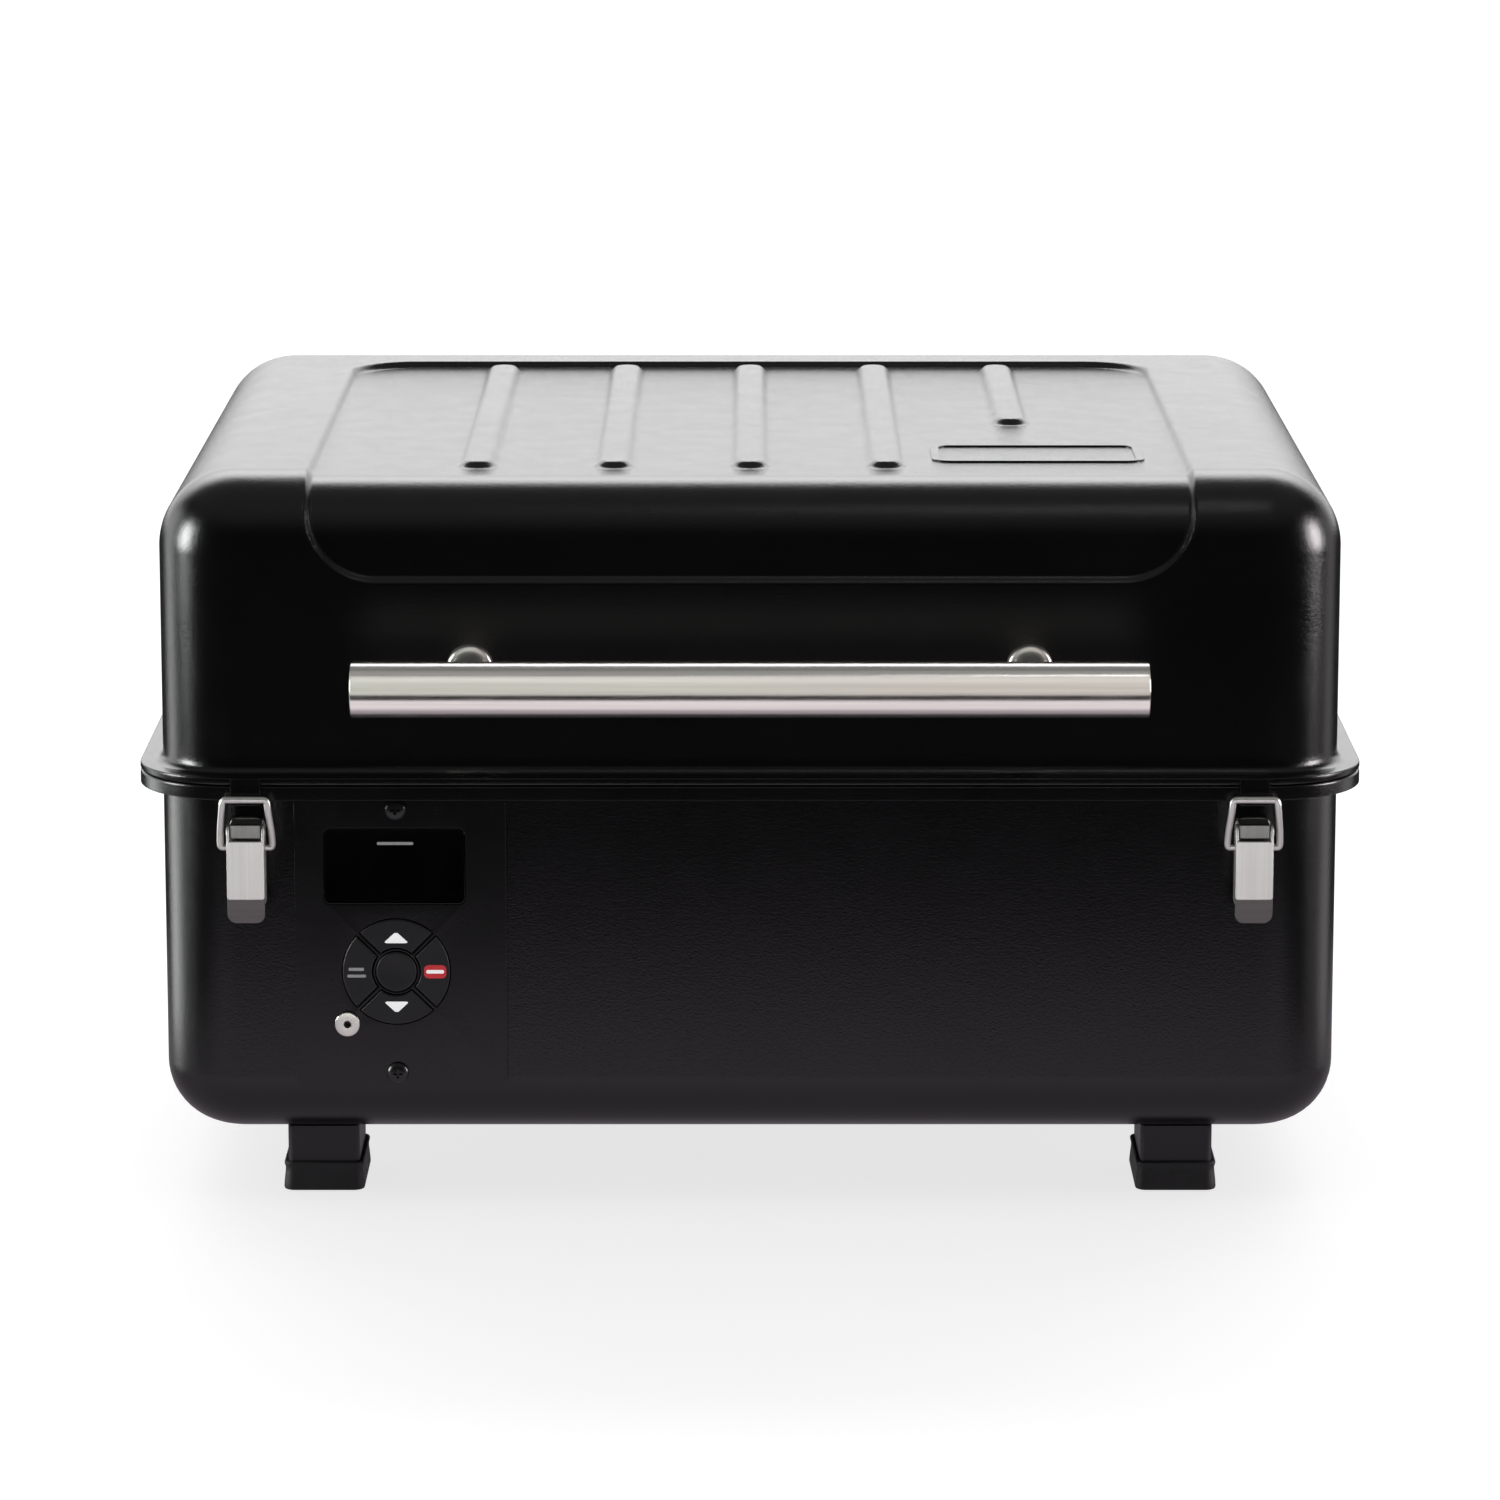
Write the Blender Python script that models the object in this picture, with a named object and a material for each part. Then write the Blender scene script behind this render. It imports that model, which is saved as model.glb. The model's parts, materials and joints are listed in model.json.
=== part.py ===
"""Tabletop pellet smoker grill: a pressed steel tub and hinged lid with a pellet feed inside.

All sizes below are in millimetres and are turned into metres when a mesh is made.
+X is to the right, the front faces -Y, +Z is up, and the origin is on the ground
under the middle of the grill.
"""
import math

import bmesh
import bpy

MM = 0.001
GAP = 0.3                      # clearance between pieces that touch

# ---- tub and lid --------------------------------------------------------------------
HALF_WIDTH = 260.0
FRONT = -191.5                 # outer face of the front wall
REAR = 240.5                   # outer face of the rear wall
MIDDLE = (REAR + FRONT) / 2
SHEET = 1.6
PLAN_RADIUS = 36.0
FLOOR_Z = 30.0                 # underside of the tub
FLOOR_RADIUS = 29.0
RIM_OUT = 10.0                 # how far the rims stand out from the walls
TUB_RIM_LOW = 185.0
TUB_RIM_HIGH = 191.5
LID_RIM_LOW = TUB_RIM_HIGH + GAP
LID_RIM_HIGH = 195.0
LID_FILLET = 4.5
LID_TOP = 325.0
LID_RADIUS = 34.0
CORNER_STEPS = 5
INNER_FLOOR = FLOOR_Z + SHEET
INNER_X = HALF_WIDTH - SHEET
INNER_FRONT = FRONT + SHEET
INNER_REAR = REAR - SHEET

# ---- pressed panel on the lid ---------------------------------------------------------
PANEL_HALF = 194.0
PANEL_DEPTH = 3.0
PANEL_RADIUS = 26.0
PANEL_REAR = REAR - LID_RADIUS - 43.5
PANEL_DROP = 11.0              # how far the panel runs down the front below the bend
RIB_PITCH = 60.2
RIB_WIDTH = 14.0
RIB_TIP = FRONT + LID_RADIUS + 18.5
SHORT_RIB_TIP = RIB_TIP + 130.0

# ---- handle ----------------------------------------------------------------------------
HANDLE_RADIUS = 12.0
HANDLE_BORE = 10.5
HANDLE_HALF = 170.7
HANDLE_Y = FRONT - 55.2
HANDLE_Z = 243.0
POST_X = 122.0
POST_RADIUS = 10.0

# ---- lid hinges ------------------------------------------------------------------------
HINGE_Y = REAR + 14.5
HINGE_Z = TUB_RIM_HIGH
HINGE_X = 185.0
HINGE_HALF = 25.0
KNUCKLE_RADIUS = 3.7
MIDDLE_KNUCKLE = 12.2
PIN_RADIUS = 1.7
PIN_HOLE = 2.1
LEAF = 2.0

# ---- latches ---------------------------------------------------------------------------
LATCH_X = 220.2
LATCH_PIVOT = (-203.0, 171.5)  # y and z of the lever's pivot on the base
BAIL_PIVOT = (-200.0, 164.0)   # y and z of the bail's pivot on the lever
BAIL_BAR = (-207.0, 186.5)     # y and z of the bail's bar
BAIL_RADIUS = 1.5
BAIL_FOOT_HALF = 12.0
BAIL_BAR_HALF = 10.5
PLATE_LOW = 135.0               # the latch base on the wall
PLATE_HIGH = 176.0
WEB = 0.8                      # web between the base's ears
EAR_SHEET = 1.5
LATCH_BASE_HALF = 8.0
EAR_HALF = 6.6
LEVER_HALF = 8.2
LEVER_CHEEK = 1.2
LEVER_LOW = 142.0
LEVER_TIP = 131.0
LEVER_HIGH = 168.0
LEVER_FACE = -207.7
LEVER_SHEET = 1.4
KEEPER_HALF = 6.5

# ---- control panel ---------------------------------------------------------------------
CONTROL_LEFT = -200.0
CONTROL_RIGHT = -107.0
CONTROL_LOW = 55.0
CONTROL_HIGH = 184.6
CONTROL_FACE = FRONT - GAP - SHEET
DISPLAY = (-186.9, -125.3, 137.0, 170.6)   # left, right, low, high
KEYPAD = (-155.6, 106.6)
KEY_OUTER = 23.6
KEY_INNER = 10.8
KEY_CENTRE = 9.0
KEY_WEB = 1.15                 # half the gap between neighbouring keys
KEY_FRONT = CONTROL_FACE - 1.0
KEY_BACK = -186.0
JACK = (-177.4, 83.0)
JACK_BARREL = 3.9
SCREW_X = -155.4
SCREW_ZS = {"top": 179.6, "bottom": 60.8}
SCREW_HEAD = 4.8
SCREW_SHANK = 2.0
WINDOW_CUT = (-192.0, -116.0, 76.0, 174.0)
CASE = (-196.0, -112.0, -160.0, 70.0, 176.8)   # x low, x high, y high, z low, z high

# ---- feet ------------------------------------------------------------------------------
LEG_X = 190.5
LEG_YS = {"front": -142.5, "rear": 191.5}
LEG_HALF_X = 16.0
LEG_HALF_Y = 24.0
LEG_SHEET = 2.0
BOOT_HEIGHT = 13.0
BOOT_SOLE = 4.2

# ---- pellet feed and fire --------------------------------------------------------------
PARTITION_X = -93.5
FEED_Y = 60.0
FEED_Z = 72.0
TUBE_RADIUS = 17.5
TUBE_BORE = 16.0
TUBE_LEFT = -199.0
TUBE_RIGHT = 34.0
SCREW_OUTER = 14.0
AUGER_SHAFT = 4.0
AUGER_PITCH = 32.0
POT_X = 66.0
POT_RADIUS = 40.0
POT_WALL = 1.8
POT_TOP = 112.0
IGNITER_Z = 45.0
IGNITER_RADIUS = 4.5
AIR_Z = 56.0
AIR_RADIUS = 3.5
PROBE = (220.0, 148.0)         # y and z of the temperature probe
PROBE_RADIUS = 3.0
THROAT = (-168.0, -122.0, 47.0, 73.0)      # x low, x high, y low, y high
BIN = (-252.0, -97.0, -66.0, 208.0)
BIN_SHEET = 1.2
BIN_KNEE = 132.0               # where the straight sides turn into the funnel
BIN_NECK = 96.0
DECK_Z = 182.0
FLAP_CUT = (-238.0, -114.0, -50.0, 170.0)
FLAP_HINGE = (-243.0, 188.0)   # x and z of the flap's pivot
FAN = (-140.0, -112.0)
FAN_HALF = 41.0
FAN_BORE = 37.0
FAN_TIP = 33.5

# ---- cooking chamber -------------------------------------------------------------------
GRATE = (-89.5, 255.0, -148.0, 197.0)
GRATE_LOW = 160.3
GRATE_HIGH = 168.3
GRATE_BARS = 17
BAFFLE = (-80.0, 190.0, -140.0, 190.0)
BAFFLE_TOP = 120.0
TRAY = (-86.0, 246.0, -160.0, 210.0)
TRAY_RIM = 134.0
DRAIN = (215.0, -120.0)
CUP_RADIUS = 19.0
CUP_TOP = 108.0
SLOT_XS = [-30.0 + 24.0 * i for i in range(7)]
HOOD = (-50.0, 130.0, 110.0, 166.0)
HOOD_OUT = 12.0
INLET = (-190.0, 83.5)         # x and z of the power inlet's centre


# ========================================================================================
# Shared tools
# ========================================================================================
def material(name, colour, roughness, metallic):
    """One Principled BSDF material."""
    made = bpy.data.materials.new(name)
    made.use_nodes = True
    shader = made.node_tree.nodes["Principled BSDF"]
    shader.inputs["Base Color"].default_value = (*colour, 1.0)
    shader.inputs["Roughness"].default_value = roughness
    shader.inputs["Metallic"].default_value = metallic
    return made


def solid(name, points, faces, finish, origin=(0.0, 0.0, 0.0)):
    """A closed mesh object from points in millimetres, with its origin at the given place."""
    mesh = bpy.data.meshes.new(name)
    bm = bmesh.new()
    verts = [bm.verts.new([(p - o) * MM for p, o in zip(point, origin)]) for point in points]
    for face in faces:
        bm.faces.new([verts[i] for i in face])
    bmesh.ops.recalc_face_normals(bm, faces=bm.faces)
    bm.to_mesh(mesh)
    bm.free()
    made = bpy.data.objects.new(name, mesh)
    made.location = [o * MM for o in origin]
    bpy.context.scene.collection.objects.link(made)
    mesh.materials.append(finish)
    return made


def loft(name, rings, finish, closed=False, origin=(0.0, 0.0, 0.0)):
    """Skin rings of equal length; the ends are capped unless the rings form a closed loop."""
    count = len(rings[0])
    points = [point for ring in rings for point in ring]
    faces = []
    for i in range(len(rings) if closed else len(rings) - 1):
        a = i * count
        b = (i + 1) % len(rings) * count
        for j in range(count):
            k = (j + 1) % count
            faces.append((a + j, a + k, b + k, b + j))
    if not closed:
        faces.append(tuple(range(count)))
        faces.append(tuple(range(len(points) - count, len(points))))
    return solid(name, points, faces, finish, origin)


AXES = {
    "X": lambda a, b, t: (t, a, b),
    "Y": lambda a, b, t: (a, t, b),
    "Z": lambda a, b, t: (a, b, t),
}


def prism(name, outline, axis, low, high, finish, origin=(0.0, 0.0, 0.0)):
    """Extrude an outline along an axis; the outline's two values are the other two axes."""
    place = AXES[axis]
    rings = [[place(a, b, t) for a, b in outline] for t in (low, high)]
    return loft(name, rings, finish, origin=origin)


def box(name, x, y, z, finish, origin=(0.0, 0.0, 0.0)):
    """A block from three (low, high) pairs."""
    outline = [(x[0], y[0]), (x[1], y[0]), (x[1], y[1]), (x[0], y[1])]
    return prism(name, outline, "Z", z[0], z[1], finish, origin)


def arc(centre, radius, start, end, steps):
    """Points on an arc, with angles in degrees."""
    angles = [math.radians(start + (end - start) * i / steps) for i in range(steps + 1)]
    return [(centre[0] + radius * math.cos(a), centre[1] + radius * math.sin(a)) for a in angles]


def circle(centre, radius, sides=24):
    return arc(centre, radius, 0.0, 360.0, sides)[:-1]


def rounded(x, y, radius, steps=CORNER_STEPS):
    """A rectangle with round corners, from (low, high) pairs."""
    corners = ((x[1], y[1], 0), (x[0], y[1], 90), (x[0], y[0], 180), (x[1], y[0], 270))
    outline = []
    for cx, cy, turn in corners:
        sx = -1 if cx == x[1] else 1
        sy = -1 if cy == y[1] else 1
        outline += arc((cx + sx * radius, cy + sy * radius), radius, turn, turn + 90, steps)
    return outline


def rod(name, axis, centre, radius, low, high, finish, sides=20, origin=(0.0, 0.0, 0.0)):
    return prism(name, circle(centre, radius, sides), axis, low, high, finish, origin)


def turned(name, profile, centre, finish, sides=24, closed=False, origin=(0.0, 0.0, 0.0)):
    """Turn a profile of (radius, height) points about a vertical axis."""
    rings = [[(x, y, h) for x, y in circle(centre, r, sides)] for r, h in profile]
    return loft(name, rings, finish, closed, origin)


def combine(target, tools, operation):
    """Apply exact Booleans of the tools to the target, and remove the tools."""
    for tool in tools:
        step = target.modifiers.new("Combine", 'BOOLEAN')
        step.operation = operation
        step.object = tool
        step.solver = 'EXACT'
        graph = bpy.context.evaluated_depsgraph_get()
        mesh = bpy.data.meshes.new_from_object(target.evaluated_get(graph))
        target.modifiers.clear()
        target.data = mesh
        bpy.data.objects.remove(tool)
    return target


def cut(target, *tools):
    return combine(target, tools, 'DIFFERENCE')


def join(target, *tools):
    return combine(target, tools, 'UNION')


def smooth(made, angle=35.0):
    """Round faces shade smooth, and real edges stay sharp."""
    made.data.shade_smooth()
    made.data.set_sharp_from_angle(angle=math.radians(angle))
    return made


# ========================================================================================
# Tub and lid shells
# ========================================================================================
def wall_ring(out, height):
    """The wall's plan outline, offset outwards, at a height."""
    x = (-HALF_WIDTH - out, HALF_WIDTH + out)
    y = (FRONT - out, REAR + out)
    return [(a, b, height) for a, b in rounded(x, y, PLAN_RADIUS + out)]


def tub_profile():
    """Offset and height pairs, up the outside, over the turned rim and down the inside."""
    centre = (-FLOOR_RADIUS, FLOOR_Z + FLOOR_RADIUS)
    lip_in = RIM_OUT - SHEET
    outside = arc(centre, FLOOR_RADIUS, -90, 0, CORNER_STEPS)
    rim = [
        (0.0, TUB_RIM_HIGH - SHEET),
        (lip_in, TUB_RIM_HIGH - SHEET),
        (lip_in, TUB_RIM_LOW),
        (RIM_OUT, TUB_RIM_LOW),
        (RIM_OUT, TUB_RIM_HIGH - 0.8),
        (RIM_OUT - 0.8, TUB_RIM_HIGH),
        (-SHEET, TUB_RIM_HIGH),
    ]
    inside = arc(centre, FLOOR_RADIUS - SHEET, 0, -90, CORNER_STEPS)
    return outside + rim + inside


def tub_shell(finish):
    shell = loft("tub_shell", [wall_ring(d, z) for d, z in tub_profile()], finish)
    through_front = (FRONT - 4, INNER_FRONT + 4)
    through_rear = (INNER_REAR - 4, REAR + 4)
    left, right, low, high = WINDOW_CUT
    cut(shell, box("c", (left, right), through_front, (low, high), finish))
    for z in SCREW_ZS.values():
        cut(shell, rod("c", "Y", (SCREW_X, z), SCREW_SHANK + GAP, *through_front, finish, 12))
    for x in SLOT_XS:
        cut(shell, box("c", (x, x + 16), through_rear, (147, 153), finish))
    x, z = INLET
    cut(shell, box("c", (x - 14.5, x + 14.5), through_rear, (z - 10.5, z + 10.5), finish))
    for i in range(-2, 3):
        x = FAN[0] + 12 * i
        y = (FAN[1] - 25, FAN[1] + 25)
        cut(shell, box("c", (x - 3, x + 3), y, (FLOOR_Z - 4, INNER_FLOOR + 4), finish))
    return smooth(shell)


def lid_profile():
    """Offset and height pairs, from the top down the outside, round the rim and up inside."""
    top = (-LID_RADIUS, LID_TOP - LID_RADIUS)
    fillet = (LID_FILLET, LID_RIM_HIGH + LID_FILLET)
    outside = arc(top, LID_RADIUS, 90, 0, CORNER_STEPS)
    outside += arc(fillet, LID_FILLET, 180, 270, 3)
    rim = [
        (RIM_OUT - 0.6, LID_RIM_HIGH),
        (RIM_OUT, LID_RIM_HIGH - 0.6),
        (RIM_OUT, LID_RIM_LOW + 0.6),
        (RIM_OUT - 0.6, LID_RIM_LOW),
        (-SHEET, LID_RIM_LOW),
    ]
    inside = arc(top, LID_RADIUS - SHEET, 0, 90, CORNER_STEPS)
    return outside + rim + inside


def panel_path(length, depth):
    """A point of the lid's surface, from the panel's rear end forwards, sunk by a depth."""
    flat = PANEL_REAR - (FRONT + LID_RADIUS)
    bend = LID_RADIUS * math.pi / 2
    if length <= flat:
        return PANEL_REAR - length, LID_TOP - depth
    if length < flat + bend:
        turn = (length - flat) / LID_RADIUS
        radius = LID_RADIUS - depth
        return (FRONT + LID_RADIUS - radius * math.sin(turn),
                LID_TOP - LID_RADIUS + radius * math.cos(turn))
    return FRONT + depth, LID_TOP - LID_RADIUS - (length - flat - bend)


def panel_solid(name, outer, inner, grow, finish):
    """The panel's outline, bent over the lid's front edge, between two depths."""
    flat = PANEL_REAR - (FRONT + LID_RADIUS)
    bend = LID_RADIUS * math.pi / 2
    total = flat + bend + PANEL_DROP
    radius = PANEL_RADIUS + grow
    half = PANEL_HALF + grow
    round_in = [radius * (1 - math.cos(math.radians(15 * i))) for i in range(7)]
    stops = {round(d - grow, 4) for d in round_in}
    stops |= {round(total + grow - d, 4) for d in round_in}
    stops |= {round(flat + bend * i / 8, 4) for i in range(9)}
    rings = []
    for stop in sorted(stops):
        end = min(stop + grow, total + grow - stop)
        inset = 0.0
        if end < radius:
            inset = radius - math.sqrt(max(radius ** 2 - (radius - end) ** 2, 0.0))
        y_out, z_out = panel_path(stop, outer)
        y_in, z_in = panel_path(stop, inner)
        x = half - inset
        rings.append([(-x, y_out, z_out), (x, y_out, z_out), (x, y_in, z_in), (-x, y_in, z_in)])
    return loft(name, rings, finish)


def rib_solid(x, tip, finish):
    """One raised rib: straight from the panel's rear wall, with a round front tip."""
    half = RIB_WIDTH / 2
    outline = [(x + half, PANEL_REAR + 8), (x - half, PANEL_REAR + 8)]
    outline += arc((x, tip + half), half, 180, 360, 6)
    return prism("rib", outline, "Z", LID_TOP - 6, LID_TOP + 6, finish)


def lid_shell(finish):
    shell = loft("lid_shell", [wall_ring(d, z) for d, z in lid_profile()], finish)
    pressing = panel_solid("tool", -4.0, PANEL_DEPTH, 0.0, finish)
    for i in range(-2, 3):
        tip = SHORT_RIB_TIP if i == 2 else RIB_TIP
        cut(pressing, rib_solid(RIB_PITCH * i, tip, finish))
    join(shell, panel_solid("pad", SHEET / 2, PANEL_DEPTH + SHEET, SHEET, finish))
    cut(shell, pressing)
    return smooth(shell)


# ========================================================================================
# Handle
# ========================================================================================
def handle(finish, cap_finish):
    centre = (HANDLE_Y, HANDLE_Z)
    tube = rod("handle_tube", "X", centre, HANDLE_RADIUS, -HANDLE_HALF, HANDLE_HALF, finish, 32)
    bore = rod("c", "X", centre, HANDLE_BORE, -HANDLE_HALF - 4, HANDLE_HALF + 4, finish, 32)
    smooth(cut(tube, bore))
    for side, sign in (("left", -1), ("right", 1)):
        post = rod(f"handle_post_{side}", "Y", (sign * POST_X, HANDLE_Z), POST_RADIUS,
                   HANDLE_Y, FRONT - GAP, finish)
        seat = rod("c", "X", centre, HANDLE_RADIUS + GAP, sign * POST_X - 20,
                   sign * POST_X + 20, finish, 32)
        smooth(cut(post, seat))
        ends = sorted((sign * (HANDLE_HALF - 8), sign * (HANDLE_HALF - 0.5)))
        smooth(rod(f"handle_end_cap_{side}", "X", centre, HANDLE_BORE - GAP, *ends, cap_finish))


# ========================================================================================
# Lid hinges
# ========================================================================================
def hinge_body_leaf(side, x, finish):
    """Wall plate on the tub with two arms that reach round the rim to the outer knuckles."""
    wall = REAR + GAP
    span = (x - HINGE_HALF, x + HINGE_HALF)
    top = TUB_RIM_LOW - 2.0
    low = top - 33.0
    leaf = box(f"hinge_body_leaf_{side}", span, (wall, wall + LEAF), (low, top), finish)
    arm_in = REAR + RIM_OUT + 0.5
    arm_out = arm_in + LEAF
    root = wall + LEAF / 2
    outline = [(root, top - 2.4), (arm_out, top - 2.4), (arm_out, HINGE_Z)]
    outline += [(arm_in, HINGE_Z), (arm_in, top), (root, top)]
    inner_end = MIDDLE_KNUCKLE + GAP
    for ends in ((x - HINGE_HALF, x - inner_end), (x + inner_end, x + HINGE_HALF)):
        arm = prism("arm", outline, "X", *ends, finish)
        knuckle = rod("k", "X", (HINGE_Y, HINGE_Z), KNUCKLE_RADIUS, *ends, finish, 16)
        join(leaf, join(arm, knuckle))
    cut(leaf, rod("c", "X", (HINGE_Y, HINGE_Z), PIN_HOLE, x - 40, x + 40, finish, 16))
    return smooth(leaf)


def hinge_lid_leaf(side, x, finish):
    """Wall plate on the lid with one arm to the middle knuckle."""
    wall = REAR + GAP
    pivot = (0.0, HINGE_Y, HINGE_Z)
    low = LID_RIM_HIGH + 6.0
    across = (x - HINGE_HALF, x + HINGE_HALF)
    upright = (low, low + 31.0)
    leaf = box(f"hinge_lid_leaf_{side}", across, (wall, wall + LEAF), upright, finish, pivot)
    arm_in = REAR + RIM_OUT + 0.5
    arm_out = arm_in + LEAF
    root = wall + LEAF / 2
    outline = [(root, low + 2.4), (root, low), (arm_in, low)]
    outline += [(arm_in, HINGE_Z), (arm_out, HINGE_Z), (arm_out, low + 2.4)]
    span = (x - MIDDLE_KNUCKLE, x + MIDDLE_KNUCKLE)
    arm = prism("arm", outline, "X", *span, finish)
    knuckle = rod("k", "X", (HINGE_Y, HINGE_Z), KNUCKLE_RADIUS, *span, finish, 16)
    join(leaf, join(arm, knuckle))
    cut(leaf, rod("c", "X", (HINGE_Y, HINGE_Z), PIN_HOLE, x - 40, x + 40, finish, 16))
    return smooth(leaf)


def hinges(finish, pin_finish):
    for side, sign in (("left", -1), ("right", 1)):
        x = sign * HINGE_X
        hinge_body_leaf(side, x, finish)
        hinge_lid_leaf(side, x, finish)
        smooth(rod(f"hinge_pin_{side}", "X", (HINGE_Y, HINGE_Z), PIN_RADIUS,
                   x - HINGE_HALF, x + HINGE_HALF, pin_finish, 12))


# ========================================================================================
# Draw latches
# ========================================================================================
def latch_base(side, x, finish):
    """Plate on the tub with two ears, a front web and the lever's pin."""
    y, z = LATCH_PIVOT
    back = FRONT - GAP
    across = (x - LATCH_BASE_HALF, x + LATCH_BASE_HALF)
    plate = rounded(across, (PLATE_LOW, PLATE_HIGH), 4.0, 3)
    base = prism(f"latch_base_{side}", plate, "Y", back - LEAF, back, finish)
    root = back - LEAF / 2
    nose = y - PIN_RADIUS - 1.2
    top = PLATE_HIGH - 1.0
    ear = [(root, z - 7.5), (root, top), (nose, top), (nose, z - 2.5), (y, z - 3.1)]
    join(base, prism("ears", ear, "X", x - EAR_HALF, x + EAR_HALF, finish))
    hollow_x = (x - EAR_HALF + EAR_SHEET, x + EAR_HALF - EAR_SHEET)
    hollow_y = (nose + WEB, back - LEAF - 1.2)
    cut(base, box("c", hollow_x, hollow_y, (z - 12, top - WEB), finish))
    pin = rod("pin", "X", LATCH_PIVOT, PIN_RADIUS, x - LEVER_HALF - 0.6, x + LEVER_HALF + 0.6,
              finish, 12)
    return smooth(join(base, pin))


def latch_lever(side, x, finish):
    """Folded lever: a front plate with a lip bent back, and two cheeks that hold both pivots."""
    y, z = LATCH_PIVOT
    origin = (x, y, z)
    inner_face = LEVER_FACE + LEVER_SHEET
    plate = rounded((x - LEVER_HALF, x + LEVER_HALF), (LEVER_LOW, LEVER_HIGH), 1.5, 2)
    lever = prism(f"latch_lever_{side}", plate, "Y", LEVER_FACE, inner_face, finish, origin)
    lip = [(LEVER_FACE, LEVER_LOW + 1.6), (LEVER_FACE, LEVER_LOW), (LEVER_FACE + 2.2, LEVER_TIP)]
    lip += [(LEVER_FACE + 3.6, LEVER_TIP + 0.3), (inner_face, LEVER_LOW + 0.3)]
    lip += [(inner_face, LEVER_LOW + 1.6)]
    join(lever, prism("lip", lip, "X", x - LEVER_HALF, x + LEVER_HALF, finish))
    cheek = [(LEVER_FACE + 0.4, LEVER_HIGH - 0.6), (LEVER_FACE + 0.4, LEVER_LOW + 2)]
    cheek += [(inner_face + 1.2, LEVER_LOW + 2)]
    cheek += arc(BAIL_PIVOT, 3.0, -40, 20, 3)
    cheek += arc(LATCH_PIVOT, 3.3, 20, 150, 5)
    for low in (-LEVER_HALF, LEVER_HALF - LEVER_CHEEK):
        join(lever, prism("cheek", cheek, "X", x + low, x + low + LEVER_CHEEK, finish))
    for pivot, hole in ((LATCH_PIVOT, PIN_HOLE), (BAIL_PIVOT, BAIL_RADIUS + 0.35)):
        cut(lever, rod("c", "X", pivot, hole, x - 20, x + 20, finish, 12))
    return smooth(lever)


def bail_path(x):
    """The bent wire's centre line, from one turned-in end over the bar to the other."""
    foot_y, foot_z = BAIL_PIVOT
    bar_y, bar_z = BAIL_BAR
    half = [
        (LEVER_HALF - 0.9, foot_y, foot_z),
        (BAIL_FOOT_HALF - 1.5, foot_y, foot_z),
        (BAIL_FOOT_HALF - 0.3, foot_y - 0.3, foot_z + 1.0),
        (BAIL_FOOT_HALF, foot_y - 0.8, foot_z + 2.4),
        (BAIL_BAR_HALF + 0.2, bar_y + 0.9, bar_z - 2.8),
        (BAIL_BAR_HALF - 0.5, bar_y + 0.3, bar_z - 0.9),
        (BAIL_BAR_HALF - 2.2, bar_y, bar_z),
    ]
    mirrored = [(-a, b, c) for a, b, c in reversed(half)]
    return [(x + a, b, c) for a, b, c in half + mirrored]


def latch_bail(side, x, finish):
    """The bail as a curve with a round bevel; its origin is on its pivot."""
    origin = (x, *BAIL_PIVOT)
    curve = bpy.data.curves.new(f"latch_bail_{side}", 'CURVE')
    curve.dimensions = '3D'
    curve.bevel_depth = BAIL_RADIUS * MM
    curve.bevel_resolution = 2
    curve.use_fill_caps = True
    path = bail_path(x)
    spline = curve.splines.new('POLY')
    spline.points.add(len(path) - 1)
    for point, place in zip(spline.points, path):
        point.co = (*[(p - o) * MM for p, o in zip(place, origin)], 1.0)
    curve.materials.append(finish)
    bail = bpy.data.objects.new(f"latch_bail_{side}", curve)
    bail.location = [o * MM for o in origin]
    bpy.context.scene.collection.objects.link(bail)
    return bail


def latch_keeper(side, x, finish):
    """Strip welded to the lid's rim; its nose stands just behind and below the bail's bar."""
    back = FRONT - RIM_OUT - 0.4
    face = back - 1.5
    nose = BAIL_BAR[0] + BAIL_RADIUS + 0.5
    bend = BAIL_BAR[1] - 0.5
    end = BAIL_BAR[1] - 3.1
    outline = [(back, LID_RIM_HIGH), (face, LID_RIM_HIGH), (face, bend), (nose, bend - 0.8)]
    outline += [(nose, end), (back, end)]
    return prism(f"latch_keeper_{side}", outline, "X", x - KEEPER_HALF, x + KEEPER_HALF, finish,
                 (0.0, HINGE_Y, HINGE_Z))


def latches(bright, dark):
    for side, sign in (("left", -1), ("right", 1)):
        x = sign * LATCH_X
        latch_base(side, x, bright)
        latch_lever(side, x, bright)
        latch_bail(side, x, bright)
        latch_keeper(side, x, dark)


# ========================================================================================
# Control panel
# ========================================================================================
def key_outline(turn, grow):
    """A quarter of the key ring, with straight sides parallel to the diagonals."""
    outer = KEY_OUTER + grow
    inner = KEY_INNER - grow
    side = KEY_WEB - grow
    spread_out = 45.0 - math.degrees(math.asin(side / outer))
    spread_in = 45.0 - math.degrees(math.asin(side / inner))
    outline = arc(KEYPAD, outer, turn - spread_out, turn + spread_out, 8)
    outline += arc(KEYPAD, inner, turn + spread_in, turn - spread_in, 5)
    return outline


KEYS = {"key_right": 0.0, "key_up": 90.0, "key_left": 180.0, "key_down": 270.0}


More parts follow.
